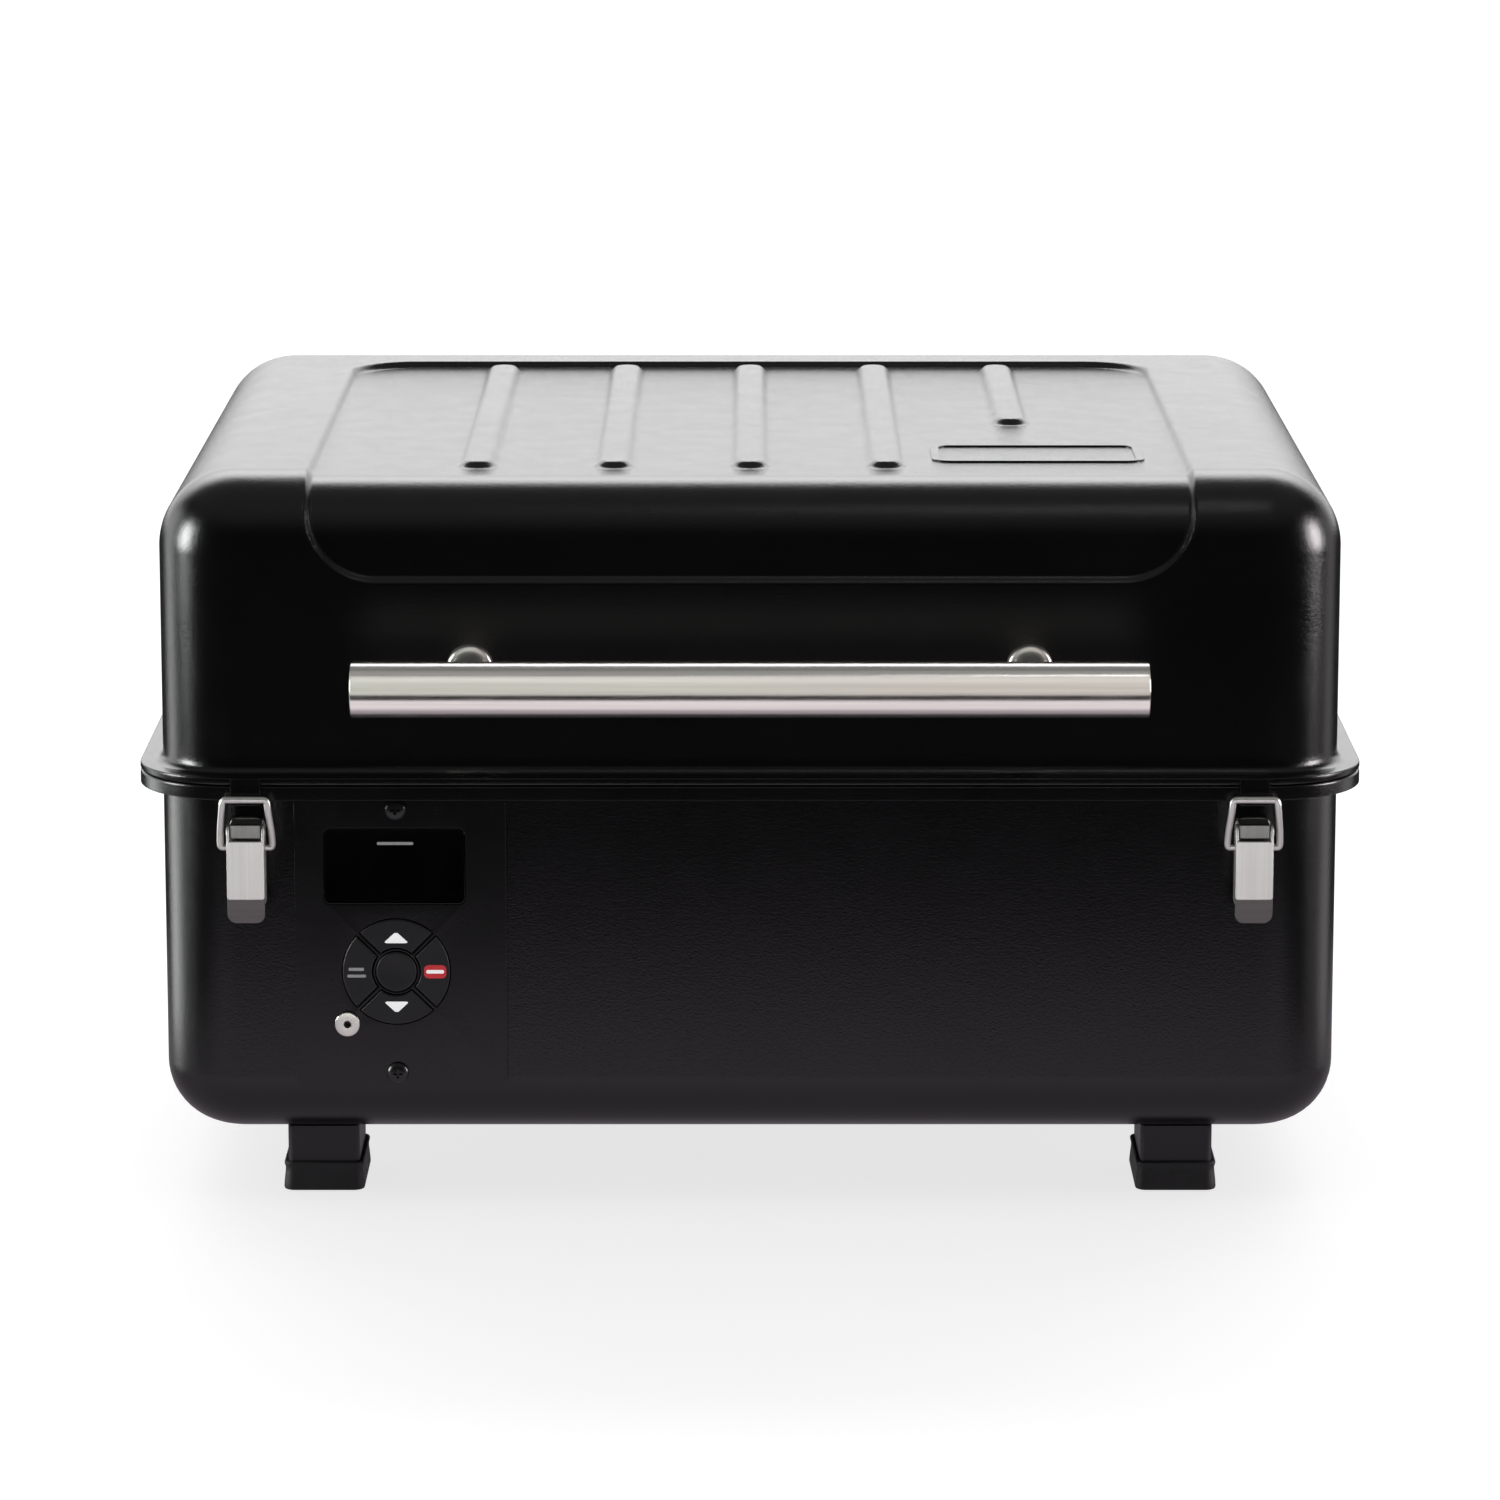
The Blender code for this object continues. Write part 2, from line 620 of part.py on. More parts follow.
def control_panel(finish):
    outline = rounded((CONTROL_LEFT, CONTROL_RIGHT), (CONTROL_LOW, CONTROL_HIGH), 3.0, 3)
    back = FRONT - GAP
    panel = prism("control_panel", outline, "Y", CONTROL_FACE, back, finish)
    through = (CONTROL_FACE - 4, back + 4)
    left, right, low, high = DISPLAY
    window = rounded((left - GAP, right + GAP), (low - GAP, high + GAP), 3.0, 3)
    cut(panel, prism("c", window, "Y", *through, finish))
    for turn in KEYS.values():
        cut(panel, prism("c", key_outline(turn, 0.35), "Y", *through, finish))
    cut(panel, rod("c", "Y", KEYPAD, KEY_CENTRE + 0.35, *through, finish))
    cut(panel, rod("c", "Y", JACK, JACK_BARREL + GAP, *through, finish, 16))
    for z in SCREW_ZS.values():
        cut(panel, rod("c", "Y", (SCREW_X, z), SCREW_SHANK + GAP, *through, finish, 12))
    return smooth(panel)


def display_window(finish):
    left, right, low, high = DISPLAY
    outline = rounded((left, right), (low, high), 2.7, 3)
    return smooth(prism("display_window", outline, "Y", CONTROL_FACE - 0.1, FRONT - GAP, finish))


def keys(finish):
    for name, turn in KEYS.items():
        middle = (KEY_INNER + KEY_OUTER) / 2
        x = KEYPAD[0] + middle * math.cos(math.radians(turn))
        z = KEYPAD[1] + middle * math.sin(math.radians(turn))
        origin = (x, KEY_FRONT, z)
        outline = key_outline(turn, 0.0)
        smooth(prism(name, outline, "Y", KEY_FRONT, KEY_BACK, finish, origin))
    centre = (KEYPAD[0], KEY_FRONT, KEYPAD[1])
    smooth(rod("key_centre", "Y", KEYPAD, KEY_CENTRE, KEY_FRONT, KEY_BACK, finish, 24, centre))


def probe_jack(finish):
    jack = rod("probe_jack", "Y", JACK, JACK_BARREL, CONTROL_FACE - 1.0, -184.0, finish, 16)
    join(jack, rod("flange", "Y", JACK, 5.5, CONTROL_FACE - 1.9, CONTROL_FACE - GAP, finish, 24))
    cut(jack, rod("c", "Y", JACK, 1.45, CONTROL_FACE - 5, -188.0, finish, 12))
    return smooth(jack)


def panel_screw(where, z, finish):
    """Button-head screw with a cross recess."""
    head = CONTROL_FACE - GAP
    profile = [(2.2, 2.4), (3.7, 1.9), (4.6, 1.0), (SCREW_HEAD, 0.0), (SCREW_SHANK, 0.0),
               (SCREW_SHANK, head - INNER_FRONT - 3)]
    rings = [[(x, head - h, y) for x, y in circle((SCREW_X, z), r, 16)] for r, h in profile]
    screw = loft(f"panel_screw_{where}", rings, finish)
    face = (head - 6, head - 1.2)
    cross = box("c", (SCREW_X - 2, SCREW_X + 2), face, (z - 0.5, z + 0.5), finish)
    join(cross, box("c2", (SCREW_X - 0.5, SCREW_X + 0.5), face, (z - 2, z + 2), finish))
    return smooth(cut(screw, cross))


def controller_case(finish):
    """Open-fronted plastic box behind the control panel."""
    x0, x1, y1, z0, z1 = CASE
    wall = 2.0
    case = box("controller_case", (x0, x1), (INNER_FRONT + GAP, y1), (z0, z1), finish)
    inside_y = (INNER_FRONT - 4, y1 - wall)
    return cut(case, box("c", (x0 + wall, x1 - wall), inside_y, (z0 + wall, z1 - wall), finish))


# ========================================================================================
# Feet
# ========================================================================================
def foot_outline(x, y, grow, radius):
    """The leg's outline, offset outwards."""
    half_x = LEG_HALF_X + grow
    half_y = LEG_HALF_Y + grow
    return rounded((x - half_x, x + half_x), (y - half_y, y + half_y), radius, 3)


def leg(name, x, y, finish):
    """Box leg, closed at the top where it bolts to the tub."""
    top = FLOOR_Z - GAP
    made = prism(name, foot_outline(x, y, 0.0, 3.0), "Z", BOOT_SOLE + GAP, top, finish)
    inner = foot_outline(x, y, -LEG_SHEET, 2.0)
    return smooth(cut(made, prism("c", inner, "Z", 0.0, top - LEG_SHEET, finish)))


def boot(name, x, y, finish):
    """Rubber boot: a flared block with a pocket for the leg."""
    flare = [
        (2.0, 0.0),
        (2.2, 1.0),
        (1.2, BOOT_HEIGHT - 4.0),
        (2.6, BOOT_HEIGHT - 1.5),
        (2.2, BOOT_HEIGHT),
    ]
    rings = [[(a, b, z) for a, b in foot_outline(x, y, grow, 4.5)] for grow, z in flare]
    made = loft(name, rings, finish)
    pocket = foot_outline(x, y, GAP, 3.3)
    return smooth(cut(made, prism("c", pocket, "Z", BOOT_SOLE, BOOT_HEIGHT + 4, finish)))


def feet(finish, rubber):
    for where, y in LEG_YS.items():
        for side, sign in (("left", -1), ("right", 1)):
            leg(f"leg_{where}_{side}", sign * LEG_X, y, finish)
            boot(f"boot_{where}_{side}", sign * LEG_X, y, rubber)


# ========================================================================================
# Pellet feed
# ========================================================================================
def hopper_bin(finish):
    """Funnel from a wide mouth down to a saddle on the auger tube, open at both ends."""
    mouth = (*BIN, DECK_Z - GAP)
    knee = (*BIN, BIN_KNEE)
    neck = (*THROAT, BIN_NECK)
    foot = (*THROAT, FEED_Z + 7.0)
    stations = [(*station, BIN_SHEET) for station in (mouth, knee, neck, foot)]
    stations += [(*station, 0.0) for station in (foot, neck, knee, mouth)]
    rings = []
    for x0, x1, y0, y1, z, grow in stations:
        xs = (x0 - grow, x1 + grow)
        ys = (y0 - grow, y1 + grow)
        rings.append([(a, b, z) for a, b in zip((xs[0], xs[1], xs[1], xs[0]),
                                                (ys[0], ys[0], ys[1], ys[1]))])
    funnel = loft("hopper_bin", rings, finish, closed=True)
    saddle = rod("c", "X", (FEED_Y, FEED_Z), TUBE_RADIUS + GAP, -180, -110, finish, 32)
    return cut(funnel, saddle)


def hopper_deck(finish):
    """Flat deck over the left bay, with the hopper's mouth and the ears of its flap."""
    half = (INNER_REAR - INNER_FRONT) / 2 - GAP
    radius = PLAN_RADIUS - SHEET - GAP
    left = -INNER_X + GAP
    low, high = MIDDLE - half, MIDDLE + half
    outline = [(PARTITION_X - GAP, low), (PARTITION_X - GAP, high)]
    outline += arc((left + radius, high - radius), radius, 90, 180, CORNER_STEPS)
    outline += arc((left + radius, low + radius), radius, 180, 270, CORNER_STEPS)
    deck = prism("hopper_deck", outline, "Z", DECK_Z, DECK_Z + SHEET, finish)
    x0, x1, y0, y1 = FLAP_CUT
    cut(deck, box("c", (x0, x1), (y0, y1), (DECK_Z - 4, DECK_Z + 6), finish))
    px, pz = FLAP_HINGE
    for y in (y0 - 7, y1 + 4):
        ear = [(px - 4, DECK_Z + 1), (px + 4, DECK_Z + 1)] + arc(FLAP_HINGE, 3.5, 0, 180, 5)
        lug = prism("ear", ear, "Y", y, y + 3, finish)
        cut(lug, rod("c", "Y", FLAP_HINGE, 1.9, y - 4, y + 8, finish, 12))
        join(deck, lug)
    return smooth(deck)


def hopper_flap(finish):
    """Flap with a rolled edge on trunnions and a bent-up finger tab."""
    px, pz = FLAP_HINGE
    x1, y0, y1 = FLAP_CUT[1] + 3, FLAP_CUT[2] - 2.5, FLAP_CUT[3] + 2.5
    z = DECK_Z + SHEET + GAP
    origin = (px, MIDDLE, pz)
    flap = box("hopper_flap", (px, x1), (y0, y1), (z + 1.0, z + 2.2), finish, origin)
    join(flap, rod("roll", "Y", FLAP_HINGE, 3.0, y0, y1, finish, 12))
    join(flap, rod("trunnion", "Y", FLAP_HINGE, 1.5, FLAP_CUT[2] - 7, FLAP_CUT[3] + 7, finish, 12))
    middle = (y0 + y1) / 2
    tab = [(x1 - 1.2, z + 1.2), (x1 + 5, z + 9.0), (x1 + 4, z + 9.7)]
    tab += [(x1 - 4, z + 2.0), (x1 - 4, z + 1.2)]
    join(flap, prism("tab", tab, "Y", middle - 22, middle + 22, finish))
    return smooth(flap)


def auger_tube(finish):
    tube = rod("auger_tube", "X", (FEED_Y, FEED_Z), TUBE_RADIUS, TUBE_LEFT, TUBE_RIGHT, finish, 32)
    cut(tube, rod("c", "X", (FEED_Y, FEED_Z), TUBE_BORE, TUBE_LEFT - 4, TUBE_RIGHT + 4, finish, 32))
    x0, x1, y0, y1 = THROAT
    cut(tube, box("c", (x0, x1), (y0 + 1, y1 - 1), (FEED_Z + 4, FEED_Z + 30), finish))
    return smooth(tube)


def auger_screw(finish):
    """Shaft with one helical flight."""
    start, end = TUBE_LEFT + 5.0, TUBE_RIGHT - 6.0
    thick = 2.4
    root = AUGER_SHAFT - 1.2
    steps_per_turn = 14
    steps = round((end - start - thick) / AUGER_PITCH * steps_per_turn)
    rings = []
    for i in range(steps + 1):
        turn = 2 * math.pi * i / steps_per_turn
        x = start + AUGER_PITCH * i / steps_per_turn
        ring = []
        for radius, side in ((root, 0), (SCREW_OUTER, 0), (SCREW_OUTER, thick), (root, thick)):
            y = FEED_Y + radius * math.cos(turn)
            z = FEED_Z + radius * math.sin(turn)
            ring.append((x + side, y, z))
        rings.append(ring)
    origin = (start, FEED_Y, FEED_Z)
    flight = loft("auger_screw", rings, finish, origin=origin)
    ends = (TUBE_LEFT - 3.4, TUBE_RIGHT - 3.0)
    shaft = rod("shaft", "X", (FEED_Y, FEED_Z), AUGER_SHAFT, *ends, finish, 14)
    return smooth(join(flight, shaft))


def auger_motor(finish):
    """Gearbox on the end of the auger tube, with a round motor on its front."""
    right = TUBE_LEFT - 4.0
    left = right - 44.0
    centre = ((left + right) / 2, FEED_Z + 2.0)
    y = (FEED_Y - 28, FEED_Y + 28)
    case = box("auger_motor", (left, right), y, (centre[1] - 24, centre[1] + 24), finish)
    can = rod("can", "Y", centre, 20.0, y[0] - 30, y[0] + 1, finish, 24)
    return smooth(join(case, can))


def fan_housing(finish):
    """Square frame with a round duct, and spokes under a motor seat."""
    x, y = FAN
    low, high = INNER_FLOOR + 0.8, 60.0
    across = (x - FAN_HALF, x + FAN_HALF)
    along = (y - FAN_HALF, y + FAN_HALF)
    frame = box("fan_housing", across, along, (low, high), finish)
    cut(frame, rod("c", "Z", FAN, FAN_BORE, low - 4, high + 4, finish, 32))
    reach = FAN_HALF - 1
    join(frame, box("spoke", (x - reach, x + reach), (y - 2, y + 2), (low, low + 3), finish))
    join(frame, box("spoke", (x - 2, x + 2), (y - reach, y + reach), (low, low + 3), finish))
    join(frame, rod("seat", "Z", FAN, 12.0, low, low + 3, finish, 20))
    return smooth(frame)


def fan_impeller(finish):
    """Hub with seven pitched blades."""
    x, y = FAN
    low, high = INNER_FLOOR + 5.0, 57.0
    origin = (x, y, (low + high) / 2)
    hub = rod("fan_impeller", "Z", FAN, 13.0, low, high, finish, 20, origin)
    blades = 7
    for i in range(blades):
        turn = 2 * math.pi * i / blades
        along = (math.cos(turn), math.sin(turn))
        across = (-along[1], along[0])
        rings = []
        for radius, lean in ((11.0, 3.0), (FAN_TIP - 1.0, 6.0)):
            ring = []
            for z, shift in ((low + 2, -lean), (high - 2, lean)):
                for side in (-0.8, 0.8) if z == low + 2 else (0.8, -0.8):
                    ring.append((x + along[0] * radius + across[0] * (shift + side),
                                 y + along[1] * radius + across[1] * (shift + side), z))
            rings.append(ring)
        join(hub, loft("blade", rings, finish))
    return smooth(hub)


# ========================================================================================
# Fire and cooking chamber
# ========================================================================================
def chamber_partition(finish):
    """Wall between the left bay and the cooking chamber, with a ledge for the grate."""
    radius = FLOOR_RADIUS - SHEET
    low, high = INNER_FRONT + GAP, INNER_REAR - GAP
    floor = INNER_FLOOR + GAP
    outline = [(high, 184.0), (low, 184.0)]
    outline += arc((low + radius, floor + radius), radius, 180, 270, 5)
    outline += arc((high - radius, floor + radius), radius, 270, 360, 5)
    wall = prism("chamber_partition", outline, "X", PARTITION_X, PARTITION_X + SHEET, finish)
    ledge_x = (PARTITION_X + 0.5, PARTITION_X + 9.5)
    ledge_z = (GRATE_LOW - GAP - SHEET, GRATE_LOW - GAP)
    join(wall, box("ledge", ledge_x, GRATE[2:], ledge_z, finish))
    through = (PARTITION_X - 6, PARTITION_X + 8)
    cut(wall, rod("c", "X", (FEED_Y, FEED_Z), TUBE_RADIUS + 0.4, *through, finish, 32))
    cut(wall, rod("c", "X", (FEED_Y, IGNITER_Z), IGNITER_RADIUS + 0.4, *through, finish, 16))
    cut(wall, rod("c", "X", PROBE, PROBE_RADIUS + 0.5, *through, finish, 16))
    return smooth(wall)


def firepot(finish):
    """Open cup with air holes, and side holes for the auger tube and the igniter."""
    low = INNER_FLOOR + 0.6
    inner = POT_RADIUS - POT_WALL
    profile = [(POT_RADIUS, low), (POT_RADIUS, POT_TOP), (inner, POT_TOP), (inner, low + 2.0)]
    pot = turned("firepot", profile, (POT_X, FEED_Y), finish, 32)
    side = (POT_X - POT_RADIUS - 6, POT_X - 10)
    cut(pot, rod("c", "X", (FEED_Y, FEED_Z), TUBE_RADIUS + 0.4, *side, finish, 32))
    cut(pot, rod("c", "X", (FEED_Y, IGNITER_Z), IGNITER_RADIUS + 0.4, *side, finish, 16))
    cut(pot, rod("c", "Y", (POT_X, AIR_Z), AIR_RADIUS, FEED_Y - 50, FEED_Y + 50, finish, 10))
    cut(pot, rod("c", "X", (FEED_Y, AIR_Z), AIR_RADIUS, POT_X + 10, POT_X + 50, finish, 10))
    return smooth(pot)


def igniter_rod(finish):
    ends = (PARTITION_X - 18.5, POT_X - POT_RADIUS + 14.0)
    return smooth(rod("igniter_rod", "X", (FEED_Y, IGNITER_Z), IGNITER_RADIUS, *ends, finish, 16))


def heat_baffle(finish):
    """Folded steel bridge over the firepot."""
    x0, x1, y0, y1 = BAFFLE
    low = INNER_FLOOR + 0.6
    outline = [(y0, low), (y0, BAFFLE_TOP), (y1, BAFFLE_TOP), (y1, low)]
    under = BAFFLE_TOP - SHEET
    outline += [(y1 - SHEET, low), (y1 - SHEET, under), (y0 + SHEET, under), (y0 + SHEET, low)]
    return prism("heat_baffle", outline, "X", x0, x1, finish)


def drip_tray(finish):
    """Shallow tray with sloping sides and a drain hole over the grease cup."""
    x0, x1, y0, y1 = TRAY
    low = BAFFLE_TOP + GAP
    rings = []
    for grow, z in ((-5.0, low), (0.0, TRAY_RIM), (-1.2, TRAY_RIM), (-6.0, low + 1.2)):
        outline = rounded((x0 - grow, x1 + grow), (y0 - grow, y1 + grow), 10.0 + grow, 3)
        rings.append([(a, b, z) for a, b in outline])
    tray = loft("drip_tray", rings, finish)
    return smooth(cut(tray, rod("c", "Z", DRAIN, 7.0, low - 4, low + 8, finish, 16)))


def grease_cup(finish):
    low = INNER_FLOOR + 0.8
    wall = 1.2
    profile = [(CUP_RADIUS - 3, low), (CUP_RADIUS, CUP_TOP)]
    profile += [(CUP_RADIUS - wall, CUP_TOP), (CUP_RADIUS - 4, low + wall)]
    return smooth(turned("grease_cup", profile, DRAIN, finish, 24))


def grate_rail(finish):
    """Angle strip on the right wall that carries the grate."""
    high = GRATE_LOW - GAP
    wall = INNER_X - GAP
    outline = [(wall, high - 10), (wall, high), (wall - 11, high), (wall - 11, high - SHEET)]
    outline += [(wall - SHEET, high - SHEET), (wall - SHEET, high - 10)]
    return prism("grate_rail", outline, "Y", GRATE[2], GRATE[3], finish)


def cooking_grate(finish):
    """Cast grate: a frame with bars from front to rear and one cross bar."""
    x0, x1, y0, y1 = GRATE
    frame = 9.0
    grate = box("cooking_grate", (x0, x1), (y0, y1), (GRATE_LOW, GRATE_HIGH), finish)
    pitch = (x1 - x0 - frame) / GRATE_BARS
    middle = (y0 + y1) / 2
    slots = [(y0 + frame, middle - frame / 2), (middle + frame / 2, y1 - frame)]
    through = (GRATE_LOW - 4, GRATE_HIGH + 4)
    for i in range(GRATE_BARS):
        left = x0 + frame + pitch * i
        for span in slots:
            cut(grate, box("c", (left, left + pitch - frame), span, through, finish))
    return grate


def temperature_probe(finish):
    """Probe through the partition, with its hex nut on the bay's side."""
    ends = (PARTITION_X - 10.5, PARTITION_X + 53.5)
    probe = rod("temperature_probe", "X", PROBE, PROBE_RADIUS, *ends, finish, 14)
    nut = rod("nut", "X", PROBE, 6.5, PARTITION_X - 6.0, PARTITION_X - GAP, finish, 6)
    return smooth(join(probe, nut))


def exhaust_hood(finish):
    """Cover over the exhaust slots, open below and towards the wall."""
    x0, x1, z0, z1 = HOOD
    wall = REAR + GAP
    hood = box("exhaust_hood", (x0, x1), (wall, wall + HOOD_OUT), (z0, z1), finish)
    inner_x = (x0 + SHEET, x1 - SHEET)
    inner_y = (wall - 4, wall + HOOD_OUT - SHEET)
    return cut(hood, box("c", inner_x, inner_y, (z0 - 4, z1 - SHEET), finish))


def power_inlet(finish):
    """Appliance inlet with a flange outside the rear wall and a recessed mouth."""
    x, z = INLET
    wall = REAR + GAP
    body_y = (wall - 24, wall + 1)
    inlet = box("power_inlet", (x - 14, x + 14), body_y, (z - 10, z + 10), finish)
    flange = rounded((x - 25, x + 25), (z - 13, z + 13), 5.0, 3)
    join(inlet, prism("flange", flange, "Y", wall, wall + 3, finish))
    mouth = rounded((x - 12, x + 12), (z - 8, z + 8), 3.0, 3)
    cut(inlet, prism("c", mouth, "Y", wall - 15, wall + 6, finish))
    for dx, dz in ((-7, -1.5), (0, 2), (7, -1.5)):
        bx = x + dx
        bz = z + dz
        blade_y = (wall - 17, wall - 4)
        join(inlet, box("blade", (bx - 1, bx + 1), blade_y, (bz - 2, bz + 2), finish))
    return smooth(inlet)


# ========================================================================================
def build():
    for old in list(bpy.data.objects):
        bpy.data.objects.remove(old)
    black = material("black_powder_coat", (0.012, 0.012, 0.014), 0.45, 0.0)
    enamel = material("black_enamel", (0.02, 0.02, 0.022), 0.3, 0.0)
    steel = material("brushed_steel", (0.55, 0.54, 0.52), 0.32, 1.0)
    zinc = material("zinc_plate", (0.6, 0.6, 0.58), 0.4, 1.0)
    bare = material("galvanised_steel", (0.42, 0.42, 0.43), 0.5, 1.0)
    iron = material("cast_iron", (0.035, 0.035, 0.036), 0.6, 0.3)
    rubber = material("black_rubber", (0.02, 0.02, 0.02), 0.75, 0.0)
    plastic = material("black_plastic", (0.02, 0.02, 0.022), 0.5, 0.0)
    glass = material("display_glass", (0.004, 0.004, 0.006), 0.08, 0.0)

    tub_shell(black)
    lid_shell(black)
    handle(steel, plastic)
    hinges(black, zinc)
    latches(zinc, black)
    control_panel(black)
    display_window(glass)
    keys(plastic)
    probe_jack(zinc)
    for where, z in SCREW_ZS.items():
        panel_screw(where, z, black)
    controller_case(plastic)
    feet(black, rubber)
    hopper_bin(bare)
    hopper_deck(black)
    hopper_flap(black)
    auger_tube(bare)
    auger_screw(iron)
    auger_motor(bare)
    fan_housing(plastic)
    fan_impeller(plastic)
    chamber_partition(black)
    firepot(iron)
    igniter_rod(steel)
    heat_baffle(enamel)
    drip_tray(enamel)
    grease_cup(bare)
    grate_rail(black)
    cooking_grate(iron)
    temperature_probe(steel)
    exhaust_hood(black)
    power_inlet(plastic)


build()
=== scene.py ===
"""Looks for the tabletop pellet smoker grill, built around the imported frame.

Sizes are in millimetres in the frame's own axes, and are turned into metres when a mesh
is made.
"""

import json
import math

import bmesh
import bpy
import numpy as np
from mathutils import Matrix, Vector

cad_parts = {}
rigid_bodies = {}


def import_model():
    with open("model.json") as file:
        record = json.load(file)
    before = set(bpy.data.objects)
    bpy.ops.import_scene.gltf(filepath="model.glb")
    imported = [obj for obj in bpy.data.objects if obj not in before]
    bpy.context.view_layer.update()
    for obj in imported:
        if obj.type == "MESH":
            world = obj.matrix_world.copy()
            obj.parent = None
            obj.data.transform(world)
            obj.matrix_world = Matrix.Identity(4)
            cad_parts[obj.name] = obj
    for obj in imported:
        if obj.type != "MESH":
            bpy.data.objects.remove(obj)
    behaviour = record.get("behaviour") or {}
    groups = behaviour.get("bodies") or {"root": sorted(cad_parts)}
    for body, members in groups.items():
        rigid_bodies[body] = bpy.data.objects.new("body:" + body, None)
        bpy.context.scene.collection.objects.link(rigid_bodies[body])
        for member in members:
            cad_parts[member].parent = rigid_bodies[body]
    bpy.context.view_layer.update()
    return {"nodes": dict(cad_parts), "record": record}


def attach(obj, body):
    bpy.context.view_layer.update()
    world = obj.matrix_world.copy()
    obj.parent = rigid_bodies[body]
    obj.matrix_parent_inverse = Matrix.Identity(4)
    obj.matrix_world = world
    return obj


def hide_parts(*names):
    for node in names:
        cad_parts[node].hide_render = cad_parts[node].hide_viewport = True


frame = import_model()

MM = 0.001

# ---- shells ----------------------------------------------
HALF_WIDTH = 260.0
FRONT = -191.5
REAR = 240.5
SHEET = 1.6
PLAN_RADIUS = 36.0
FLOOR_Z = 30.0
FLOOR_RADIUS = 29.0
RIM_OUT = 10.0
TUB_RIM_LOW = 185.0
TUB_RIM_HIGH = 191.5
LID_RIM_LOW = 191.8
LID_RIM_HIGH = 195.0
LID_FILLET = 4.5
LID_TOP = 325.0
LID_RADIUS = 34.0
CORNER_STEPS = 14

# ---- pressed panel ---------------------------------------
PANEL_HALF = 194.0
PANEL_DEPTH = 3.0
PANEL_RADIUS = 31.0
PANEL_REAR = REAR - LID_RADIUS - 20.5
PANEL_DROP = 11.0
PANEL_FLAT = PANEL_REAR - (FRONT + LID_RADIUS)
PANEL_LENGTH = PANEL_FLAT + LID_RADIUS * math.pi / 2 + PANEL_DROP
RIB_PITCH = 60.2
RIB_HALF = 7.0
RIB_START = 16.0
RIB_TIP = FRONT + LID_RADIUS + 18.5
SHORT_RIB_TIP = RIB_TIP + 130.0

# ---- handle ----------------------------------------------
HANDLE_RADIUS = 12.0
HANDLE_BORE = 10.5
HANDLE_HALF = 170.7
HANDLE_Y = FRONT - 55.2
HANDLE_Z = 243.0
POST_X = 122.0
POST_RADIUS = 10.0

# ---- latches ---------------------------------------------
LATCH_X = 220.2
LATCH_PIVOT = (-203.0, 171.5)
BAIL_PIVOT = (-200.0, 164.0)
BAIL_BAR = (-207.0, 186.5)
BAIL_RADIUS = 1.5
LEVER_HALF = 8.2
LEVER_LOW = 142.0
LEVER_TIP = 131.0
LEVER_HIGH = 168.0
LEVER_FACE = -207.7
LEVER_SHEET = 1.4

# ---- controls --------------------------------------------
CONTROL_FACE = FRONT - 0.3 - SHEET
KEYPAD = (-155.6, 106.6)
KEY_OUTER = 23.6
KEY_INNER = 10.8
KEY_CENTRE = 9.0
KEY_WEB = 1.15
KEY_FRONT = CONTROL_FACE - 1.0
KEY_BACK = -186.0
DISPLAY = (-186.9, -125.3, 137.0, 170.6)
JACK = (-177.4, 83.0)
SCREW_X = -155.4
SCREW_ZS = {"top": 179.6, "bottom": 60.8}

# ---- feet ------------------------------------------------
LEG_X = 190.5
LEG_YS = {"front": -142.5, "rear": 191.5}
LEG_HALF = (16.0, 24.0)

# ---- hinges and rear --------------------------------------
HINGE_X = 185.0
HINGE_RIVET = 16.0
HINGE_RIVET_ZS = {"body": (158.0, 174.0), "lid": (211.0, 224.0)}
LEAF = 2.0
GAP = 0.3
INLET_SCREWS = (-211.0, -169.0)
INLET_Z = 83.5
INLET_FLANGE = 3.0

# ---- badge frame ------------------------------------------
BADGE_X = (81.0, 176.0)
BADGE_Y = (-122.0, -72.0)
BADGE_BAND = 4.0

# ---- light and camera, in metres --------------------------
GLOW = 0.75
GLOW_SPAN = (-1.0, -0.1)
SKY_BACK = 2.05
SKY_LIFT = 4.0
SKY_TOP = 0.25
SKY_BASE = 0.045
WALL_AWAY = 2.0
COOL = (0.97, 1.0, 0.98)
WARM = (1.0, 0.95, 0.96)
CAMERA_PLACE = (0.0, -2.892, 0.7479)
CAMERA_DOWN = 11.354
CAMERA_LENS = 151.15

SMOOTH_ANGLE = 34.0


# ==== Node materials ======================================
def add_node(tree, kind, props=None, **inputs):
    """A node with its properties and its sockets set or linked."""
    made = tree.nodes.new(kind)
    for key, value in (props or {}).items():
        setattr(made, key, value)
    for key, value in inputs.items():
        feed(tree, value, made.inputs[key.replace("_", " ")])
    return made


def feed(tree, value, socket):
    if isinstance(value, bpy.types.NodeSocket):
        tree.links.new(value, socket)
    else:
        socket.default_value = value


